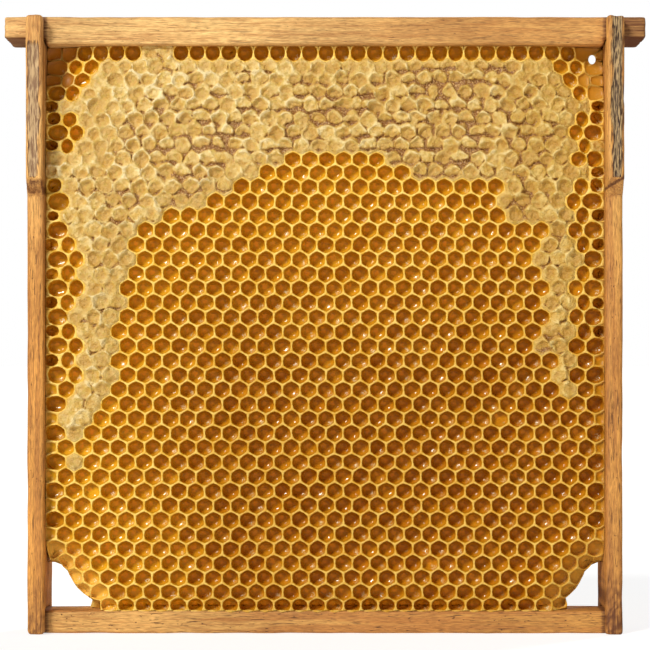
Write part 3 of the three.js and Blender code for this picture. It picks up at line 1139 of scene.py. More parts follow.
deselect_all()
slant = Vector(PASSAGE_WAY).to_track_quat("Z", "Y").to_euler()
bpy.ops.mesh.primitive_cylinder_add(
    vertices=28, radius=1, depth=PASSAGE_LENGTH, location=PASSAGE_PLACE, rotation=slant,
)
drill = bpy.context.object
drill.scale = (*PASSAGE_RADII, 1)
for piece in (front, back):
    apply_modifier(piece, "BOOLEAN", operation="DIFFERENCE", object=drill, solver="EXACT")
    print(piece.name, triangles(piece), "triangles with the passage")
bpy.data.objects.remove(drill)

# %% [markdown]
# ## A few words for building materials
#
# Materials are node trees. Writing each node and link in full hides the idea, so a few small helpers
# do it: one adds a node and wires or sets its inputs, and the others each make one kind of node, for
# arithmetic, for mixing two colours, for a smooth step, for a note and for noise.

# %% Node helpers
def add_node(tree, kind, inputs=None, **settings):
    """Adds a node. An input takes a plain value, or the output of another node."""
    node = tree.nodes.new(kind)
    for name, value in settings.items():
        setattr(node, name, value)
    for name, value in (inputs or {}).items():
        if isinstance(value, bpy.types.NodeSocket):
            tree.links.new(value, node.inputs[name])
        else:
            node.inputs[name].default_value = value
    return node


def math(tree, operation, first, second=0.0):
    return add_node(tree, "ShaderNodeMath", {0: first, 1: second}, operation=operation).outputs[0]


def blend(tree, share, first, second, how="MIX"):
    """Mixes two colours: all first at 0, all second at 1."""
    inputs = {0: share, 6: first, 7: second}
    return add_node(tree, "ShaderNodeMix", inputs, data_type="RGBA", blend_type=how).outputs[2]


def between(tree, value, low, high, start=0.0, end=1.0):
    """A smooth step from start to end as the value goes from low to high."""
    inputs = {0: value, 1: low, 2: high, 3: start, 4: end}
    return add_node(tree, "ShaderNodeMapRange", inputs, interpolation_type="SMOOTHSTEP").outputs[0]


def noted_value(tree, name):
    return add_node(tree, "ShaderNodeAttribute", attribute_name=name).outputs["Fac"]


def noise(tree, place, size, detail=2.0, stretch=(1, 1, 1)):
    """Noise from about 0.25 to 0.75 with lumps of a real size, stretched along an axis if asked."""
    scale = [1 / (size * amount) for amount in stretch]
    mapped = add_node(tree, "ShaderNodeMapping", {"Vector": place, "Scale": scale}).outputs[0]
    inputs = {"Vector": mapped, "Scale": 1.0, "Detail": detail}
    return add_node(tree, "ShaderNodeTexNoise", inputs).outputs[0]


def set_bump(tree, surface, height, strength, distance):
    """Lets a height tilt the surface in small, without moving it."""
    inputs = {"Height": height, "Strength": strength, "Distance": distance}
    tree.links.new(add_node(tree, "ShaderNodeBump", inputs).outputs[0], surface.inputs["Normal"])


print("node helpers ready")

# %% [markdown]
# ## Materials and shared groups
#
# A material starts as one plain surface and the place of each point on the object. What several
# materials share is a node group, built once and placed in each with its own values. Colours are
# written as they look on screen where that is easier to judge, and turned into linear values.

# %% Start a material or a group
def new_material(name):
    """A material with an empty Principled surface, its tree, and object coordinates."""
    material = bpy.data.materials.new(name)
    material.use_nodes = True
    tree = material.node_tree
    surface = tree.nodes["Principled BSDF"]
    place = add_node(tree, "ShaderNodeTexCoord").outputs["Object"]
    return material, tree, surface, place


def srgb(red, green, blue):
    """A colour as seen on screen, from 0 to 255, in the linear values that nodes use."""
    seen = np.array([red, green, blue]) / 255
    linear = np.where(seen <= 0.04045, seen / 12.92, ((seen + 0.055) / 1.055) ** 2.4)
    return (*linear, 1.0)


def new_group(name, inputs, outputs):
    """A shader node group. inputs maps names to starting values or "vector", outputs to kinds."""
    group = bpy.data.node_groups.new(name, "ShaderNodeTree")
    for label, start in inputs.items():
        kind = "NodeSocketColor" if isinstance(start, tuple) and len(start) == 4 else "NodeSocketFloat"
        if start == "vector":
            kind = "NodeSocketVector"
        socket = group.interface.new_socket(name=label, in_out="INPUT", socket_type=kind)
        if start != "vector":
            socket.default_value = start
    for label, kind in outputs.items():
        group.interface.new_socket(name=label, in_out="OUTPUT", socket_type=kind)
    return group, group.nodes.new("NodeGroupInput").outputs, group.nodes.new("NodeGroupOutput").inputs


def use_group(tree, group, inputs):
    return add_node(tree, "ShaderNodeGroup", inputs, node_tree=group).outputs


print("a pale wax colour in linear values:", [round(value, 3) for value in srgb(250, 220, 120)])

# %% [markdown]
# ## Mottled wax
#
# No wax surface is one colour. New wax is nearly white, older wax yellow, and honey soaks through in
# spots. All the wax materials share this, so it is a node group: two colours in, one mottled colour
# and a fine surface height out, with the size and the strength of the mottling as inputs.

# %% The mottle group
WHITE = (1.0, 1.0, 1.0, 1.0)
GREY = (0.5, 0.5, 0.5, 1.0)
BLACKISH = (0.2, 0.2, 0.2, 1.0)


def mottle_group():
    inputs = {"Place": "vector", "Pale": WHITE, "Deep": GREY, "Strength": 1.0}
    outputs = {"Color": "NodeSocketColor", "Height": "NodeSocketFloat"}
    group, given, result = new_group("mottled_wax", inputs, outputs)
    coarse = noise(group, given["Place"], 2.6 * MM, detail=3)
    fine = noise(group, given["Place"], 0.7 * MM, detail=2)
    both = math(group, "ADD", math(group, "MULTIPLY", coarse, 0.65), math(group, "MULTIPLY", fine, 0.35))
    share = math(group, "MULTIPLY", between(group, both, 0.38, 0.64), given["Strength"])
    group.links.new(blend(group, share, given["Pale"], given["Deep"]), result["Color"])
    group.links.new(both, result["Height"])
    return group


MOTTLE = mottle_group()
print("mottle group nodes:", len(MOTTLE.nodes))

# %% [markdown]
# ## The inside of the open cells
#
# A rim of pale yellow wax, amber walls that darken with depth, and honey that glows orange on the
# side away from the light. Real wax lets light through, and simulating that for a thousand cells is
# slow and noisy. So the glow is in the colour: a soft orange patch at one side of each honey pool,
# and a base colour so saturated that light bouncing between the walls turns it deep amber.

# %% Colours of wax and honey
RIM_PALE = (0.88, 0.63, 0.18, 1)
RIM_DEEP = (0.76, 0.43, 0.05, 1)
WALL_WAX = (0.76, 0.38, 0.015, 1)
# the darker end of the cells' tone, mostly painted shade beside the wood
WALL_DARK_AND_SHADED = (0.42, 0.12, 0.004, 1)
HONEY_BROWN = (0.62, 0.245, 0.004, 1)
HONEY_DARK_AND_SHADED = (0.35, 0.082, 0.002, 1)
HONEY_GLOW = (1.0, 0.40, 0.02, 1)
HONEY_GOLD = (0.80, 0.45, 0.02, 1)
HONEY_OLIVE = (0.46, 0.24, 0.004, 1)
# painted shade under the upper wall of each cell
HONEY_PAINTED_SHADE = (0.34, 0.11, 0.002, 1)
# a painted highlight: the wet sheen at the lower right of some cells
PAINTED_WET_SHEEN = (0.88, 0.80, 0.58, 1)
YOUNG_WAX = (0.84, 0.50, 0.10, 1)
BARE_WAX = (0.36, 0.11, 0.006, 1)
BARE_AMBER = (0.48, 0.20, 0.015, 1)
FRESH_TINT = (1.05, 1.03, 0.88, 1)
AGED_TINT = (0.82, 0.72, 0.50, 1)
WOOD_STAIN = (0.36, 0.13, 0.012, 1)
print("colours of the open cells are set")

# %% [markdown]
# ## What is seen down in a cell
#
# The colour is built in layers, as a painter would: first a wall that darkens with depth, with painted
# shade beside the wood, then more gold in some cells and in the fresher comb, a painted shade under
# the upper wall, olive streaks on the walls, the glow a little up and left of the middle, pale new wax
# at the free edges, and a painted highlight, a wet sheen, at the lower right in some cells. Patches
# have ragged edges, because the same swirling noise is added to the distance from their middle.

# %% The layers of colour in a cell
GLOW_AT = (-0.22, 0.16, 0.26, 0.16)  # sideways, up, reach and softness, in half cells
# where the painted highlight of the wet sheen lies, in half cells
PAINTED_SHEEN_AT = (0.44, -0.40, 0.25, 0.16)
LUCK_TURNS = 7.3  # makes a second chance value from the first


def patch_at(tree, stray, side, height, reach, soft):
    """A soft, ragged patch at one place in each cell."""
    sideways = math(tree, "POWER", math(tree, "SUBTRACT", noted_value(tree, "across"), side), 2.0)
    upward = math(tree, "POWER", math(tree, "SUBTRACT", noted_value(tree, "up"), height), 2.0)
    away = math(tree, "SQRT", math(tree, "ADD", sideways, upward))
    return between(tree, math(tree, "ADD", away, stray), reach + soft, reach - soft)


def cell_colour(tree, place):
    """The colour of the walls and the honey of a cell."""
    rank, tone_and_wood_shade, chance = (noted_value(tree, name) for name in ("rank", "tone_and_wood_shade", "chance"))
    # Beside the wood the tone paints the shade of the bars into the walls and the honey.
    wall_light = blend(tree, tone_and_wood_shade, WALL_DARK_AND_SHADED, WALL_WAX)
    wall_low = blend(tree, tone_and_wood_shade, HONEY_DARK_AND_SHADED, HONEY_BROWN)
    colour = blend(tree, between(tree, rank, 2.0, 4.2), wall_light, wall_low)
    swirl = noise(tree, place, 1.3 * MM, detail=3)
    stray = math(tree, "MULTIPLY", math(tree, "SUBTRACT", swirl, 0.5), 0.9)
    spark = noise(tree, place, 0.5 * MM, detail=2)

    fresh = math(tree, "MULTIPLY", math(tree, "SUBTRACT", 1.0, noted_value(tree, "age")), 0.48)
    warm = math(tree, "ADD", between(tree, chance, 0.2, 0.9, 0.0, 0.26), fresh)
    colour = blend(tree, warm, colour, blend(tree, tone_and_wood_shade, HONEY_DARK_AND_SHADED, HONEY_GOLD))
    # Painted shade under the upper wall of each cell, where its rim shades the inside.
    upper = math(tree, "ADD", noted_value(tree, "up"), stray)
    colour = blend(tree, between(tree, upper, 0.05, 0.60, 0.0, 0.62), colour, HONEY_PAINTED_SHADE)
    on_wall, streaks = between(tree, rank, 4.4, 2.2, 0.0, 0.60), between(tree, swirl, 0.36, 0.60)
    colour = blend(tree, math(tree, "MULTIPLY", on_wall, streaks), colour, HONEY_OLIVE)
    glow, strength = patch_at(tree, stray, *GLOW_AT), between(tree, chance, 0.0, 1.0, 0.55, 0.95)
    glow = math(tree, "MULTIPLY", glow, strength)
    colour = blend(tree, math(tree, "MULTIPLY", glow, tone_and_wood_shade), colour, HONEY_GLOW)
    colour = blend(tree, math(tree, "MULTIPLY", noted_value(tree, "young"), 0.85), colour, YOUNG_WAX)
    # A painted highlight: a whitish wet sheen at the lower right of some cells.
    painted_sheen = math(tree, "MULTIPLY", patch_at(tree, stray, *PAINTED_SHEEN_AT), between(tree, spark, 0.46, 0.60))
    luck = math(tree, "FRACT", math(tree, "MULTIPLY", chance, LUCK_TURNS))
    painted_sheen = math(tree, "MULTIPLY", painted_sheen, between(tree, luck, 0.25, 0.80, 0.0, 0.8))
    return blend(tree, painted_sheen, colour, PAINTED_WET_SHEEN)


print("layers of colour ready")

# %% [markdown]
# ## Comb wax and honey
#
# The rim is mottled wax. Over rim and cell lie a tint for the comb's age, the plain amber of the
# unbuilt corners, which is lighter on one side of the comb, and the stain beside the wood. Honey is
# the same colours with a much glossier surface, on the faces of the pools only.

# %% Make the two materials of the comb
POOL_RANK = 4.5  # faces whose points lie deeper than this are honey
# For wax and for honey: roughness, shine, refraction, and the strength and depth of the bump.
WAX_FINISH = (0.42, 0.3, 1.45, 0.25, 0.25 * MM)
HONEY_FINISH = (0.12, 0.5, 1.48, 0.6, 0.5 * MM)


def comb_material(name, honey):
    material, tree, surface, place = new_material(name)
    rank, age = noted_value(tree, "rank"), noted_value(tree, "age")
    rim = use_group(tree, MOTTLE, {"Place": place, "Pale": RIM_PALE, "Deep": RIM_DEEP, "Strength": 1.0})
    colour = blend(tree, between(tree, rank, 0.9, 2.0), rim["Color"], cell_colour(tree, place))
    colour = blend(tree, 1.0, colour, blend(tree, age, FRESH_TINT, AGED_TINT), how="MULTIPLY")
    along = add_node(tree, "ShaderNodeSeparateXYZ", {0: place}).outputs[0]
    bare = blend(tree, between(tree, along, -20 * MM, 20 * MM), BARE_WAX, BARE_AMBER)
    is_bare = math(tree, "MULTIPLY", noted_value(tree, "bare"), between(tree, rank, 0.1, 1.0, 0.30, 0.85))
    colour = blend(tree, is_bare, colour, bare)
    colour = blend(tree, math(tree, "MULTIPLY", noted_value(tree, "stain"), 0.85), colour, WOOD_STAIN)
    tree.links.new(colour, surface.inputs["Base Color"])
    roughness, shine, refraction, strength, depth = HONEY_FINISH if honey else WAX_FINISH
    surface.inputs["Roughness"].default_value = roughness
    surface.inputs["Specular IOR Level"].default_value = shine
    surface.inputs["IOR"].default_value = refraction
    height = noise(tree, place, 2.2 * MM, detail=1) if honey else rim["Height"]
    set_bump(tree, surface, height, strength, depth)
    return material


def put_materials(comb, wax, pool):
    """Gives the comb its wax, and the honey pools their own material."""
    mesh = comb.data
    rank = noted(mesh, "rank")[point_of_corners(mesh)]
    face_rank = np.add.reduceat(rank, starts_of_faces(mesh)) / sides_of_faces(mesh)
    mesh.materials.append(wax)
    mesh.materials.append(pool)
    mesh.polygons.foreach_set("material_index", (face_rank > POOL_RANK).astype(int))
    make_active(comb)
    bpy.ops.object.shade_smooth()


comb_wax = comb_material("comb_wax", honey=False)
comb_honey = comb_material("comb_honey", honey=True)
for comb in (front, back):
    put_materials(comb, comb_wax, comb_honey)
print("front materials:", [material.name for material in front.data.materials])

# %% [markdown]
# ## The lids' wax
#
# A lid is pale where the wax is thick and dry, palest on its crests, where a painted highlight is
# added, golden where it sinks towards the honey, and brown where honey wets it from below, mostly in
# the dips between lids. The wet patches carry painted sparkles of highlight and are edged with
# rust-gold, which is thin honey and painted shade. The relief of each point was noted when the lids
# were raised, so the material can tell a rim from a dip.

# %% Lid wax
# palest wax on the crests, partly a painted highlight
LID_CREST_AND_HIGHLIGHT = srgb(255, 232, 168)
LID_PALE = srgb(238, 206, 128)
LID_YELLOW = srgb(220, 176, 78)
LID_GOLD = srgb(200, 150, 62)
LID_OLIVE = srgb(212, 178, 78)
# thin honey and painted shade round the wet patches
LID_RUST_AND_SHADE = srgb(180, 124, 36)
LID_WET = srgb(140, 88, 30)
# painted sparkles of highlight in the wet patches
LID_PAINTED_SPARKLE = srgb(222, 180, 112)
LID_FRESH_TINT = (1.00, 1.00, 1.08, 1)
LID_AGED_TINT = (0.82, 0.74, 0.54, 1)


def lid_material():
    material, tree, surface, place = new_material("lid_wax")
    relief, damp = noted_value(tree, "relief"), noted_value(tree, "damp")
    skin = use_group(tree, MOTTLE, {"Place": place, "Pale": LID_PALE, "Deep": LID_YELLOW, "Strength": 1.0})
    low = between(tree, relief, 0.10, -0.60)
    crest_and_highlight = between(tree, relief, 0.10, 0.60)
    grit = noise(tree, place, 0.36 * MM, detail=3)
    blotch = noise(tree, place, 1.5 * MM, detail=4)
    colour = blend(tree, math(tree, "MULTIPLY", low, 0.7), skin["Color"], LID_GOLD)
    # Crests are paler: thick dry wax and a painted highlight.
    colour = blend(tree, math(tree, "MULTIPLY", crest_and_highlight, 0.8), colour, LID_CREST_AND_HIGHLIGHT)
    olive = math(tree, "MULTIPLY", between(tree, blotch, 0.52, 0.64), 0.55)
    colour = blend(tree, olive, colour, LID_OLIVE)
    # Wet patches: brown honey with painted sparkles of highlight.
    wet_with_sparkle = blend(tree, between(tree, grit, 0.46, 0.66), LID_WET, LID_PAINTED_SPARKLE)
    edge = math(tree, "ADD", damp, math(tree, "MULTIPLY", math(tree, "SUBTRACT", grit, 0.5), 1.4))
    edge = math(tree, "ADD", edge, math(tree, "MULTIPLY", math(tree, "SUBTRACT", 0.5, blotch), 0.8))
    is_wet = between(tree, edge, 0.42, 0.82)
    # A rust-gold band round the wet patches: thin honey and painted shade at their edges.
    colour = blend(tree, math(tree, "MULTIPLY", between(tree, edge, 0.15, 0.5), 0.55), colour, LID_RUST_AND_SHADE)
    colour = blend(tree, is_wet, colour, wet_with_sparkle)
    aged = blend(tree, noted_value(tree, "age"), LID_FRESH_TINT, LID_AGED_TINT)
    colour = blend(tree, 1.0, colour, aged, how="MULTIPLY")
    tree.links.new(colour, surface.inputs["Base Color"])
    tree.links.new(between(tree, is_wet, 0.0, 1.0, 0.46, 0.28), surface.inputs["Roughness"])
    wrinkle = noise(tree, place, 1.1 * MM, detail=4)
    height = math(tree, "ADD", math(tree, "MULTIPLY", grit, 0.35), wrinkle)
    set_bump(tree, surface, height, strength=0.85, distance=0.9 * MM)
    return material


lid_wax = lid_material()
for lids in (front_lids, back_lids):
    lids.data.materials.append(lid_wax)
    make_active(lids)
    bpy.ops.object.shade_smooth()
print("lid material nodes:", len(lid_wax.node_tree.nodes))

# %% [markdown]
# ## The worn pine bars
#
# The bars are sawn pine, once sharp, now rounded by years of scraping. Their sizes are already right
# in the frame's nodes, so each bar starts as a copy of its node. The copy's loose triangles are
# merged, a voxel remesh gives it an even fine mesh all over, smoothing rounds every edge a little,
# and noise that is long along the grain and short across it makes the surface gently uneven. The
# weathered strips on the two shoulders are cut deeper, like wood that has lost its soft grain.

# %% Where the end bars are weathered
SHOULDER_FOOT = 142.6 * MM  # where the end bars step back from their wide shoulders
# For each side: the left, right and upper end of the weathered strip on the shoulder.
GREY_STRIPS = {-1: (-93.0 * MM, -89.2 * MM, 187 * MM), 1: (89.2 * MM, 93.4 * MM, 215 * MM)}


def weathering(x, y, z, side):
    """How weathered an end bar is: a grey strip down the front of each shoulder, from 0 to 1."""
    left, right, top = GREY_STRIPS[side]
    wander = 0.5 * MM * lumps(z / 3, y, 1.6 * MM, 61 + side) + 0.45 * MM * lumps(z, y, 8 * MM, 63 + side)
    strip = smoothstep(x + wander, left, left + 0.9 * MM) * smoothstep(x - wander, right, right - 0.9 * MM)
    up = smoothstep(z + wander, SHOULDER_FOOT, SHOULDER_FOOT + 1 * MM) * smoothstep(z, top, top - 4 * MM)
    return strip * up


print("weathered strips start at", SHOULDER_FOOT / MM, "mm")

# %% [markdown]
# ## Dirt, propolis and painted shade
#
# Bees glue every joint with brown propolis, and hands and hive tools leave dirt. The same dark colour
# paints shade too. On the bars that lie it is painted shade at the joints with the end bars, under the
# lugs and over the whole of one lug, and patchy dirt along the wax. On the end bars it darkens the
# lower ends in patches. One of them also has a dark taper under its shoulder and an inner face darkened
# by propolis and painted shade, and the other a slanting dark line.

# %% Where the bars are dirty or painted with shade
DIRT_SEED = 91
JOINT_REACH = (90 * MM, 88 * MM)  # from the middle, over the joint between the bars
LUG_FROM = 93 * MM
TAPER_FOOT = 137.8 * MM
SLANT_LINE = (88.3 * MM, 140.2 * MM, 0.6)  # a place across, the height there, and the slope


def dirt_patches(x, z):
    return 0.55 + 0.45 * lumps(x * 2, z, 1.1 * MM, DIRT_SEED)


def dirt_and_shade_on_lying_bar(points, normals, wax_height):
    x, _, z = points.T
    from_middle = np.abs(x)
    # Painted shade at the joint with the end bar, under the lugs and over the far lug; patchy dirt along the
    # wax.
    shade_at_joint = smoothstep(from_middle, WALL - 1.6 * MM, WALL - 0.1 * MM) * smoothstep(from_middle, *JOINT_REACH)
    near_wax = smoothstep(np.abs(z - wax_height), 0.8 * MM, 0.1 * MM)
    shade_under_lug = (normals[:, 2] < -0.4) * (from_middle > LUG_FROM)
    shade_on_far_lug = 0.70 * (x > LUG_FROM)
    return np.clip(0.8 * shade_at_joint + 0.3 * near_wax * dirt_patches(x, z) + 0.8 * shade_under_lug + shade_on_far_lug, 0, 1)


def dirt_and_shade_on_end_bar(points, normals, on_right):
    x, _, z = points.T
    patchy = dirt_patches(x, z)
    lower = 0.75 * smoothstep(z, 26 * MM, 3 * MM) * (0.4 + 0.6 * patchy)
    if on_right:
        slant = np.abs(z - (SLANT_LINE[1] + SLANT_LINE[2] * (x - SLANT_LINE[0])))
        line = 0.9 * smoothstep(slant, 0.9 * MM, 0.3 * MM)
        return np.clip(lower + line + 0.35 * (z < 140 * MM) * patchy, 0, 1)
    taper = smoothstep(z, TAPER_FOOT, TAPER_FOOT + 1 * MM)
    taper = taper * smoothstep(z, SHOULDER_FOOT + 0.2 * MM, SHOULDER_FOOT - 0.8 * MM)
    # The inner face is darkened by propolis and by painted shade.
    inner = (normals[:, 0] > 0.6) * smoothstep(z, 12 * MM, 26 * MM)
    return np.clip(lower + taper * patchy + 0.35 * inner, 0, 1)


print("dirt is placed by joint, wax, lug and taper")

# %% [markdown]
# ## Shaping the bars
#
# Each bar is remeshed, smoothed and pushed a little in or out along its surface. The push is a
# slow swell, a fine grain, worn dents along the edges, and the weathering. No point may leave the
# bar's own box, so every size stays as it was.

# %% Shape the four bars
VOXEL = 0.75 * MM
LYING, STANDING = 0, 2  # the axis of the grain, X or Z
GRAIN_HEIGHT = 0.10 * MM
EDGE_WEAR = 0.22 * MM
EDGE_TURN = 0.93  # a surface that points less than this along any axis is an edge


def surface_normals(mesh):
    flat = np.zeros(len(mesh.vertices) * 3)
    mesh.vertices.foreach_get("normal", flat)
    return flat.reshape(-1, 3)


def shape_bar(node, seed, long_axis):
    """A fine, worn copy of one bar, with its grain along the given axis."""
    bar = copy_of(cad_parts[node], node + "_wood")
    make_active(bar)
    lowest, highest = (np.array(corner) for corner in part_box(node))
    edit_mode()
    bpy.ops.mesh.select_all(action="SELECT")
    bpy.ops.mesh.remove_doubles(threshold=0.01 * MM)
    object_mode()
    bar.data.remesh_voxel_size = VOXEL
    bpy.ops.object.voxel_remesh()
    edit_mode()
    bpy.ops.mesh.select_all(action="SELECT")
    bpy.ops.mesh.vertices_smooth(factor=0.5, repeat=2)
    object_mode()

    mesh = bar.data
    points, normals = points_of(mesh), surface_normals(mesh)
    along = points[:, long_axis]
    across = points.sum(axis=1) - along
    push = GRAIN_HEIGHT * lumps(along, across, 9 * MM, seed) - GRAIN_HEIGHT / 2
    push += GRAIN_HEIGHT * lumps(along / 7, across, 0.9 * MM, seed + 1)
    on_edge = np.abs(normals).max(axis=1) < EDGE_TURN
    push -= on_edge * EDGE_WEAR * np.clip(lumps(along, across, 2.6 * MM, seed + 2), 0, 1)
    if long_axis == STANDING:
        side = 1 if lowest[0] > 0 else -1
        weather = weathering(*points.T, side)
        ragged = 0.5 + 0.5 * lumps(along / 4, across, 0.8 * MM, seed + 3)
        push -= weather * (0.08 + 0.40 * ragged) * MM
        dirt_and_shade = dirt_and_shade_on_end_bar(points, normals, on_right=side > 0)
    else:
        weather = np.zeros(len(points))
        dirt_and_shade = dirt_and_shade_on_lying_bar(points, normals, CEILING if lowest[2] > FLOOR else FLOOR)
    points += normals * push[:, None]
    move_points(mesh, np.clip(points, lowest, highest))
    note(mesh, "weather", weather)
    note(mesh, "edge_wear", on_edge.astype(float))
    note(mesh, "dirt_and_shade", dirt_and_shade)
    bpy.ops.object.shade_smooth()
    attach(bar, "root")
    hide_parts(node)
    print(bar.name, triangles(bar), "triangles")
    return bar


bars = {
    "top_bar": shape_bar("top_bar", 81, LYING),
    "bottom_bar": shape_bar("bottom_bar", 82, LYING),
    "end_bar_left": shape_bar("end_bar_left", 83, STANDING),
    "end_bar_right": shape_bar("end_bar_right", 84, STANDING),
}

# %% [markdown]
# ## Pine grain
#
# Pine shows three things at once: broad wavy bands from the growth rings, fine straight fibres, and
# short dark cracks and pores where dirt has settled. All four bars share this, so it is a group. It
# reads a place whose first number runs along the grain, so the same group works for bars that lie
# and bars that stand.

# %% The grain group
FINE_TINTS = (0.80, 0.76, 0.70, 1), (1.12, 1.12, 1.12, 1)  # the darkest and lightest of the fine grain
BOARD_TINTS = (0.90, 0.88, 0.84, 1), (1.08, 1.07, 1.05, 1)  # and of broad patches of the board


def grain_group():
    inputs = {
        "Along": "vector", "Pale": WHITE, "Band": GREY, "Crack": BLACKISH, "Bands": 0.5, "Cracks": 0.5,
    }
    outputs = {"Color": "NodeSocketColor", "Height": "NodeSocketFloat", "Fibre": "NodeSocketFloat"}
    group, given, result = new_group("pine_grain", inputs, outputs)
    along = given["Along"]
    broad = noise(group, along, 2.6 * MM, detail=4, stretch=(26, 1, 1))
    fibre = noise(group, along, 0.45 * MM, detail=5, stretch=(22, 1, 1))
    fine = noise(group, along, 0.26 * MM, detail=2, stretch=(9, 1, 1))
    crack = noise(group, along, 0.42 * MM, detail=4, stretch=(15, 1, 1))
    pore = noise(group, along, 0.55 * MM, detail=2, stretch=(2.5, 1, 1))
    patch = noise(group, along, 14 * MM, detail=3, stretch=(2, 1, 1))
    rings = math(group, "MULTIPLY", between(group, broad, 0.44, 0.60), given["Bands"])
    colour = blend(group, rings, given["Pale"], given["Band"])
    fibres = math(group, "MULTIPLY", between(group, fibre, 0.50, 0.62), 0.5)
    colour = blend(group, fibres, colour, given["Band"])
    grainy = blend(group, between(group, fine, 0.36, 0.64), *FINE_TINTS)
    colour = blend(group, 1.0, colour, grainy, how="MULTIPLY")
    board = blend(group, between(group, patch, 0.35, 0.65), *BOARD_TINTS)
    colour = blend(group, 1.0, colour, board, how="MULTIPLY")
    dark = math(group, "ADD", between(group, crack, 0.60, 0.68), between(group, pore, 0.68, 0.74))
    dark = math(group, "MULTIPLY", dark, given["Cracks"])
    colour = blend(group, math(group, "MINIMUM", dark, 1.0), colour, given["Crack"])
    height = math(group, "ADD", math(group, "MULTIPLY", fibre, 0.6), math(group, "MULTIPLY", fine, 0.4))
    height = math(group, "SUBTRACT", height, math(group, "MULTIPLY", dark, 0.5))
    group.links.new(colour, result["Color"])
    group.links.new(height, result["Height"])
    group.links.new(fibre, result["Fibre"])
    return group


GRAIN = grain_group()
print("grain group nodes:", len(GRAIN.nodes))

# %% [markdown]
# ## One material for each bar
#
# The bars come from different boards and wore differently. The top bar is pale at one end and
# orange at the other, the end bars are grey and ragged on their shoulders, and the lower parts are
# stained a deeper orange brown. Each bar gets its own colours, and each reads how weathered and worn
# its points are.

# %% Pine colours
PINE = {
    # node: colours at its start and its end, where the change lies, and the strength of bands and cracks
    "top_bar": (srgb(236, 190, 118), srgb(206, 152, 80), (-40 * MM, 60 * MM), 0.32, 0.50),
    "bottom_bar": (srgb(214, 162, 88), srgb(190, 134, 60), (-60 * MM, 60 * MM), 0.7, 1.0),
    "end_bar_left": (srgb(226, 158, 72), srgb(236, 182, 104), (100 * MM, 160 * MM), 0.6, 0.7),
    "end_bar_right": (srgb(204, 142, 64), srgb(224, 166, 84), (80 * MM, 150 * MM), 0.6, 0.8),
}
BAND = srgb(172, 108, 44)
CRACK = srgb(98, 56, 22)
# For each end bar: the dark lines and the pale ridges of its weathered strip.
OLD_WOOD = {
    "end_bar_left": (srgb(142, 104, 68), srgb(200, 166, 118)),
    "end_bar_right": (srgb(62, 38, 16), srgb(180, 150, 102)),
}
DARK_EDGE = srgb(84, 50, 24)
# the colour of dirt, also used for painted shade
DIRT_AND_SHADE = srgb(104, 56, 18)
print("pine colours for:", sorted(PINE))

# %% [markdown]
# ## Putting the grain on a bar
#
# The grain group runs along the first number of the place it is given, so the axes change places
# for a bar that stands. On the end bars, the weathered strip crackles between dark lines and pale
# ridges, with a dark ragged edge. Worn edges take the colour of the bands, and dirt and painted shade
# lie over it all.

# %% Pine materials
def old_wood(tree, colour, along, fibre, node):
    """Lays the weathered strip of an end bar over its colour."""
    weather = noted_value(tree, "weather")
    line, ridge = OLD_WOOD[node]
    crackle = noise(tree, along, 0.42 * MM, detail=4, stretch=(9, 1, 1))
    old = blend(tree, between(tree, crackle, 0.40, 0.60), line, ridge)
    old = blend(tree, between(tree, fibre, 0.46, 0.38, 0.0, 0.6), old, line)
    in_strip, ragged = between(tree, weather, 0.10, 0.30), between(tree, crackle, 0.60, 0.45)
    colour = blend(tree, math(tree, "MULTIPLY", in_strip, ragged), colour, DARK_EDGE)
    return blend(tree, between(tree, weather, 0.35, 0.85, 0.0, 0.9), colour, old)


def pine_material(node, long_axis):
    start, end, (change_from, change_to), bands, cracks = PINE[node]
    material, tree, surface, place = new_material(node + "_pine")
    axes = add_node(tree, "ShaderNodeSeparateXYZ", {0: place}).outputs
    order = (0, 1, 2) if long_axis == LYING else (2, 1, 0)
    turned = {slot: axes[axis] for slot, axis in enumerate(order)}
    along = add_node(tree, "ShaderNodeCombineXYZ", turned).outputs[0]
    pale = blend(tree, between(tree, axes[long_axis], change_from, change_to), start, end)
    inputs = {"Along": along, "Pale": pale, "Band": BAND, "Crack": CRACK, "Bands": bands, "Cracks": cracks}
    grain = use_group(tree, GRAIN, inputs)
    colour = grain["Color"]
    if node in OLD_WOOD:
        colour = old_wood(tree, colour, along, grain["Fibre"], node)
    colour = blend(tree, math(tree, "MULTIPLY", noted_value(tree, "edge_wear"), 0.30), colour, BAND)
    # The dark colour here is dirt and also painted shade at joints, under lugs and on a shaded inner face.
    dirt_and_shade = math(tree, "ADD", noted_value(tree, "dirt_and_shade"), math(tree, "SUBTRACT", grain["Fibre"], 0.5))
    colour = blend(tree, between(tree, dirt_and_shade, 0.1, 1.0), colour, DIRT_AND_SHADE)
    tree.links.new(colour, surface.inputs["Base Color"])
    surface.inputs["Roughness"].default_value = 0.62
    set_bump(tree, surface, grain["Height"], strength=0.6, distance=0.35 * MM)
    return material


for node, bar in bars.items():
    bar.data.materials.clear()
    bar.data.materials.append(pine_material(node, STANDING if node in OLD_WOOD else LYING))
print("pine materials:", [bar.data.materials[0].name for bar in bars.values()])

# %% [markdown]
# ## Attach every piece to the frame
#
# Everything here is one rigid body, the frame itself, so every piece rides on it. The comb's pieces
# stand for the block of comb in the imported model.

# %% Ride and replace
for piece in (front, front_lids, back, back_lids):
    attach(piece, "root")
    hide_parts("comb")
print("pieces that stand for the comb:", [piece.name for piece in (front, front_lids, back, back_lids)])

# %% [markdown]
# ## The floor
#
# The frame stands on a white table lit from within, so that its shadow stays pale. The wax doesn't
# mirror the floor, which would make the honey look milky.

# %% Floor
FLOOR_SIZE = 60.0
FLOOR_GLOW = 0.62  # a light table, so that no shadow on it is dark

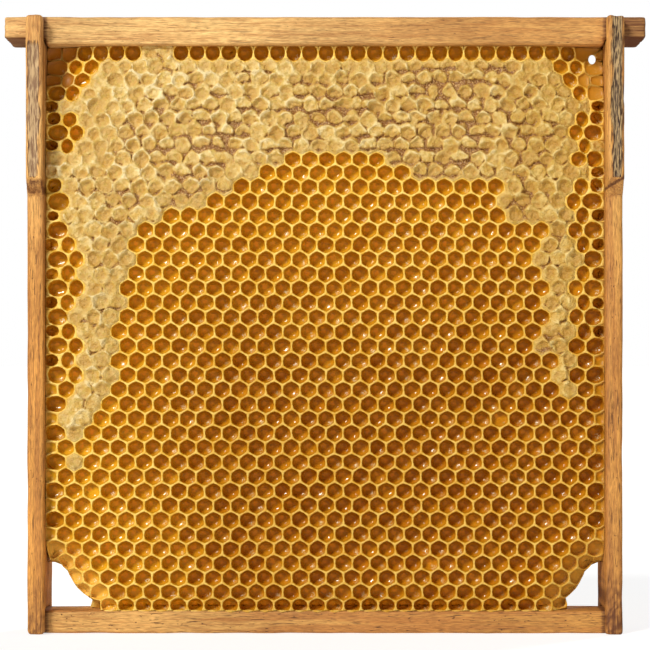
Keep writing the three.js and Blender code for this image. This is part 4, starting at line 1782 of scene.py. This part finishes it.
deselect_all()
bpy.ops.mesh.primitive_plane_add(size=FLOOR_SIZE)
floor = bpy.context.object
floor.name = "studio_floor"
floor_material, _, floor_surface, _ = new_material("white_floor")
floor_surface.inputs["Base Color"].default_value = GREY
floor_surface.inputs["Emission Color"].default_value = WHITE
floor_surface.inputs["Emission Strength"].default_value = FLOOR_GLOW
floor_surface.inputs["Roughness"].default_value = 0.9
floor.data.materials.append(floor_material)
floor.visible_glossy = False
print("floor is", FLOOR_SIZE, "m across")

# %% [markdown]
# ## The white room
#
# The world is a white room that fills the shadows. Mirrored in every drop of honey it would look
# milky too, so glossy rays see a darker room than the others, and the camera sees pure white.

# %% World
ROOM_LIGHT = 0.25
ROOM_MIRRORED = 0.05

world = bpy.data.worlds.new("white_room")
bpy.context.scene.world = world
world.use_nodes = True
room = world.node_tree
background = room.nodes["Background"]
background.inputs["Color"].default_value = WHITE
path_of_light = add_node(room, "ShaderNodeLightPath").outputs
lit = between(room, path_of_light["Is Glossy Ray"], 0.0, 1.0, ROOM_LIGHT, ROOM_MIRRORED)
background_light = math(room, "MAXIMUM", lit, path_of_light["Is Camera Ray"])
room.links.new(background_light, background.inputs["Strength"])
print("room light:", ROOM_LIGHT)

# %% [markdown]
# ## The lamps
#
# Food looks best under one soft light from the upper left that rakes over its surface. A sun lamp
# does that evenly for the frame and for the whole floor, and its angle sets how soft the shadows are.
# A second, weaker one lights the back.

# %% Lamps
KEY_STRENGTH = 2.75
KEY_FROM = (-0.47, -0.68, 0.56)
BACK_STRENGTH = 1.6
BACK_FROM = (0.45, 0.60, 0.66)
SUN_ANGLE = 14  # degrees across


def soft_sun(name, direction, strength):
    """Adds a soft sun that shines from the given direction."""
    deselect_all()
    bpy.ops.object.light_add(type="SUN")
    sun = bpy.context.object
    sun.name = name
    sun.data.energy = strength
    sun.data.angle = SUN_ANGLE * pi / 180
    sun.rotation_euler = Vector(direction).to_track_quat("Z", "Y").to_euler()


soft_sun("key_light", KEY_FROM, KEY_STRENGTH)
soft_sun("back_light", BACK_FROM, BACK_STRENGTH)
print("suns from:", KEY_FROM, "and", BACK_FROM)

# %% [markdown]
# ## The camera
#
# The camera is level and far away, with a long lens, so upright bars stay upright, and a small
# vertical shift centres the frame.

# %% Camera
CAMERA_AWAY = 0.832
CAMERA_HEIGHT = 86.2 * MM
LENS = 144.7
CAMERA_RISE = 35 / 650  # vertical shift, in widths of the view

camera_data = bpy.data.cameras.new("camera")
camera = bpy.data.objects.new("camera", camera_data)
bpy.context.scene.collection.objects.link(camera)
camera.location = (0, -CAMERA_AWAY, CAMERA_HEIGHT)
camera.rotation_euler = (pi / 2, 0, 0)
camera_data.lens = LENS
camera_data.shift_y = CAMERA_RISE
bpy.context.scene.camera = camera
bpy.context.scene.view_settings.view_transform = "Standard"
print("camera at", [round(value, 3) for value in camera.location])
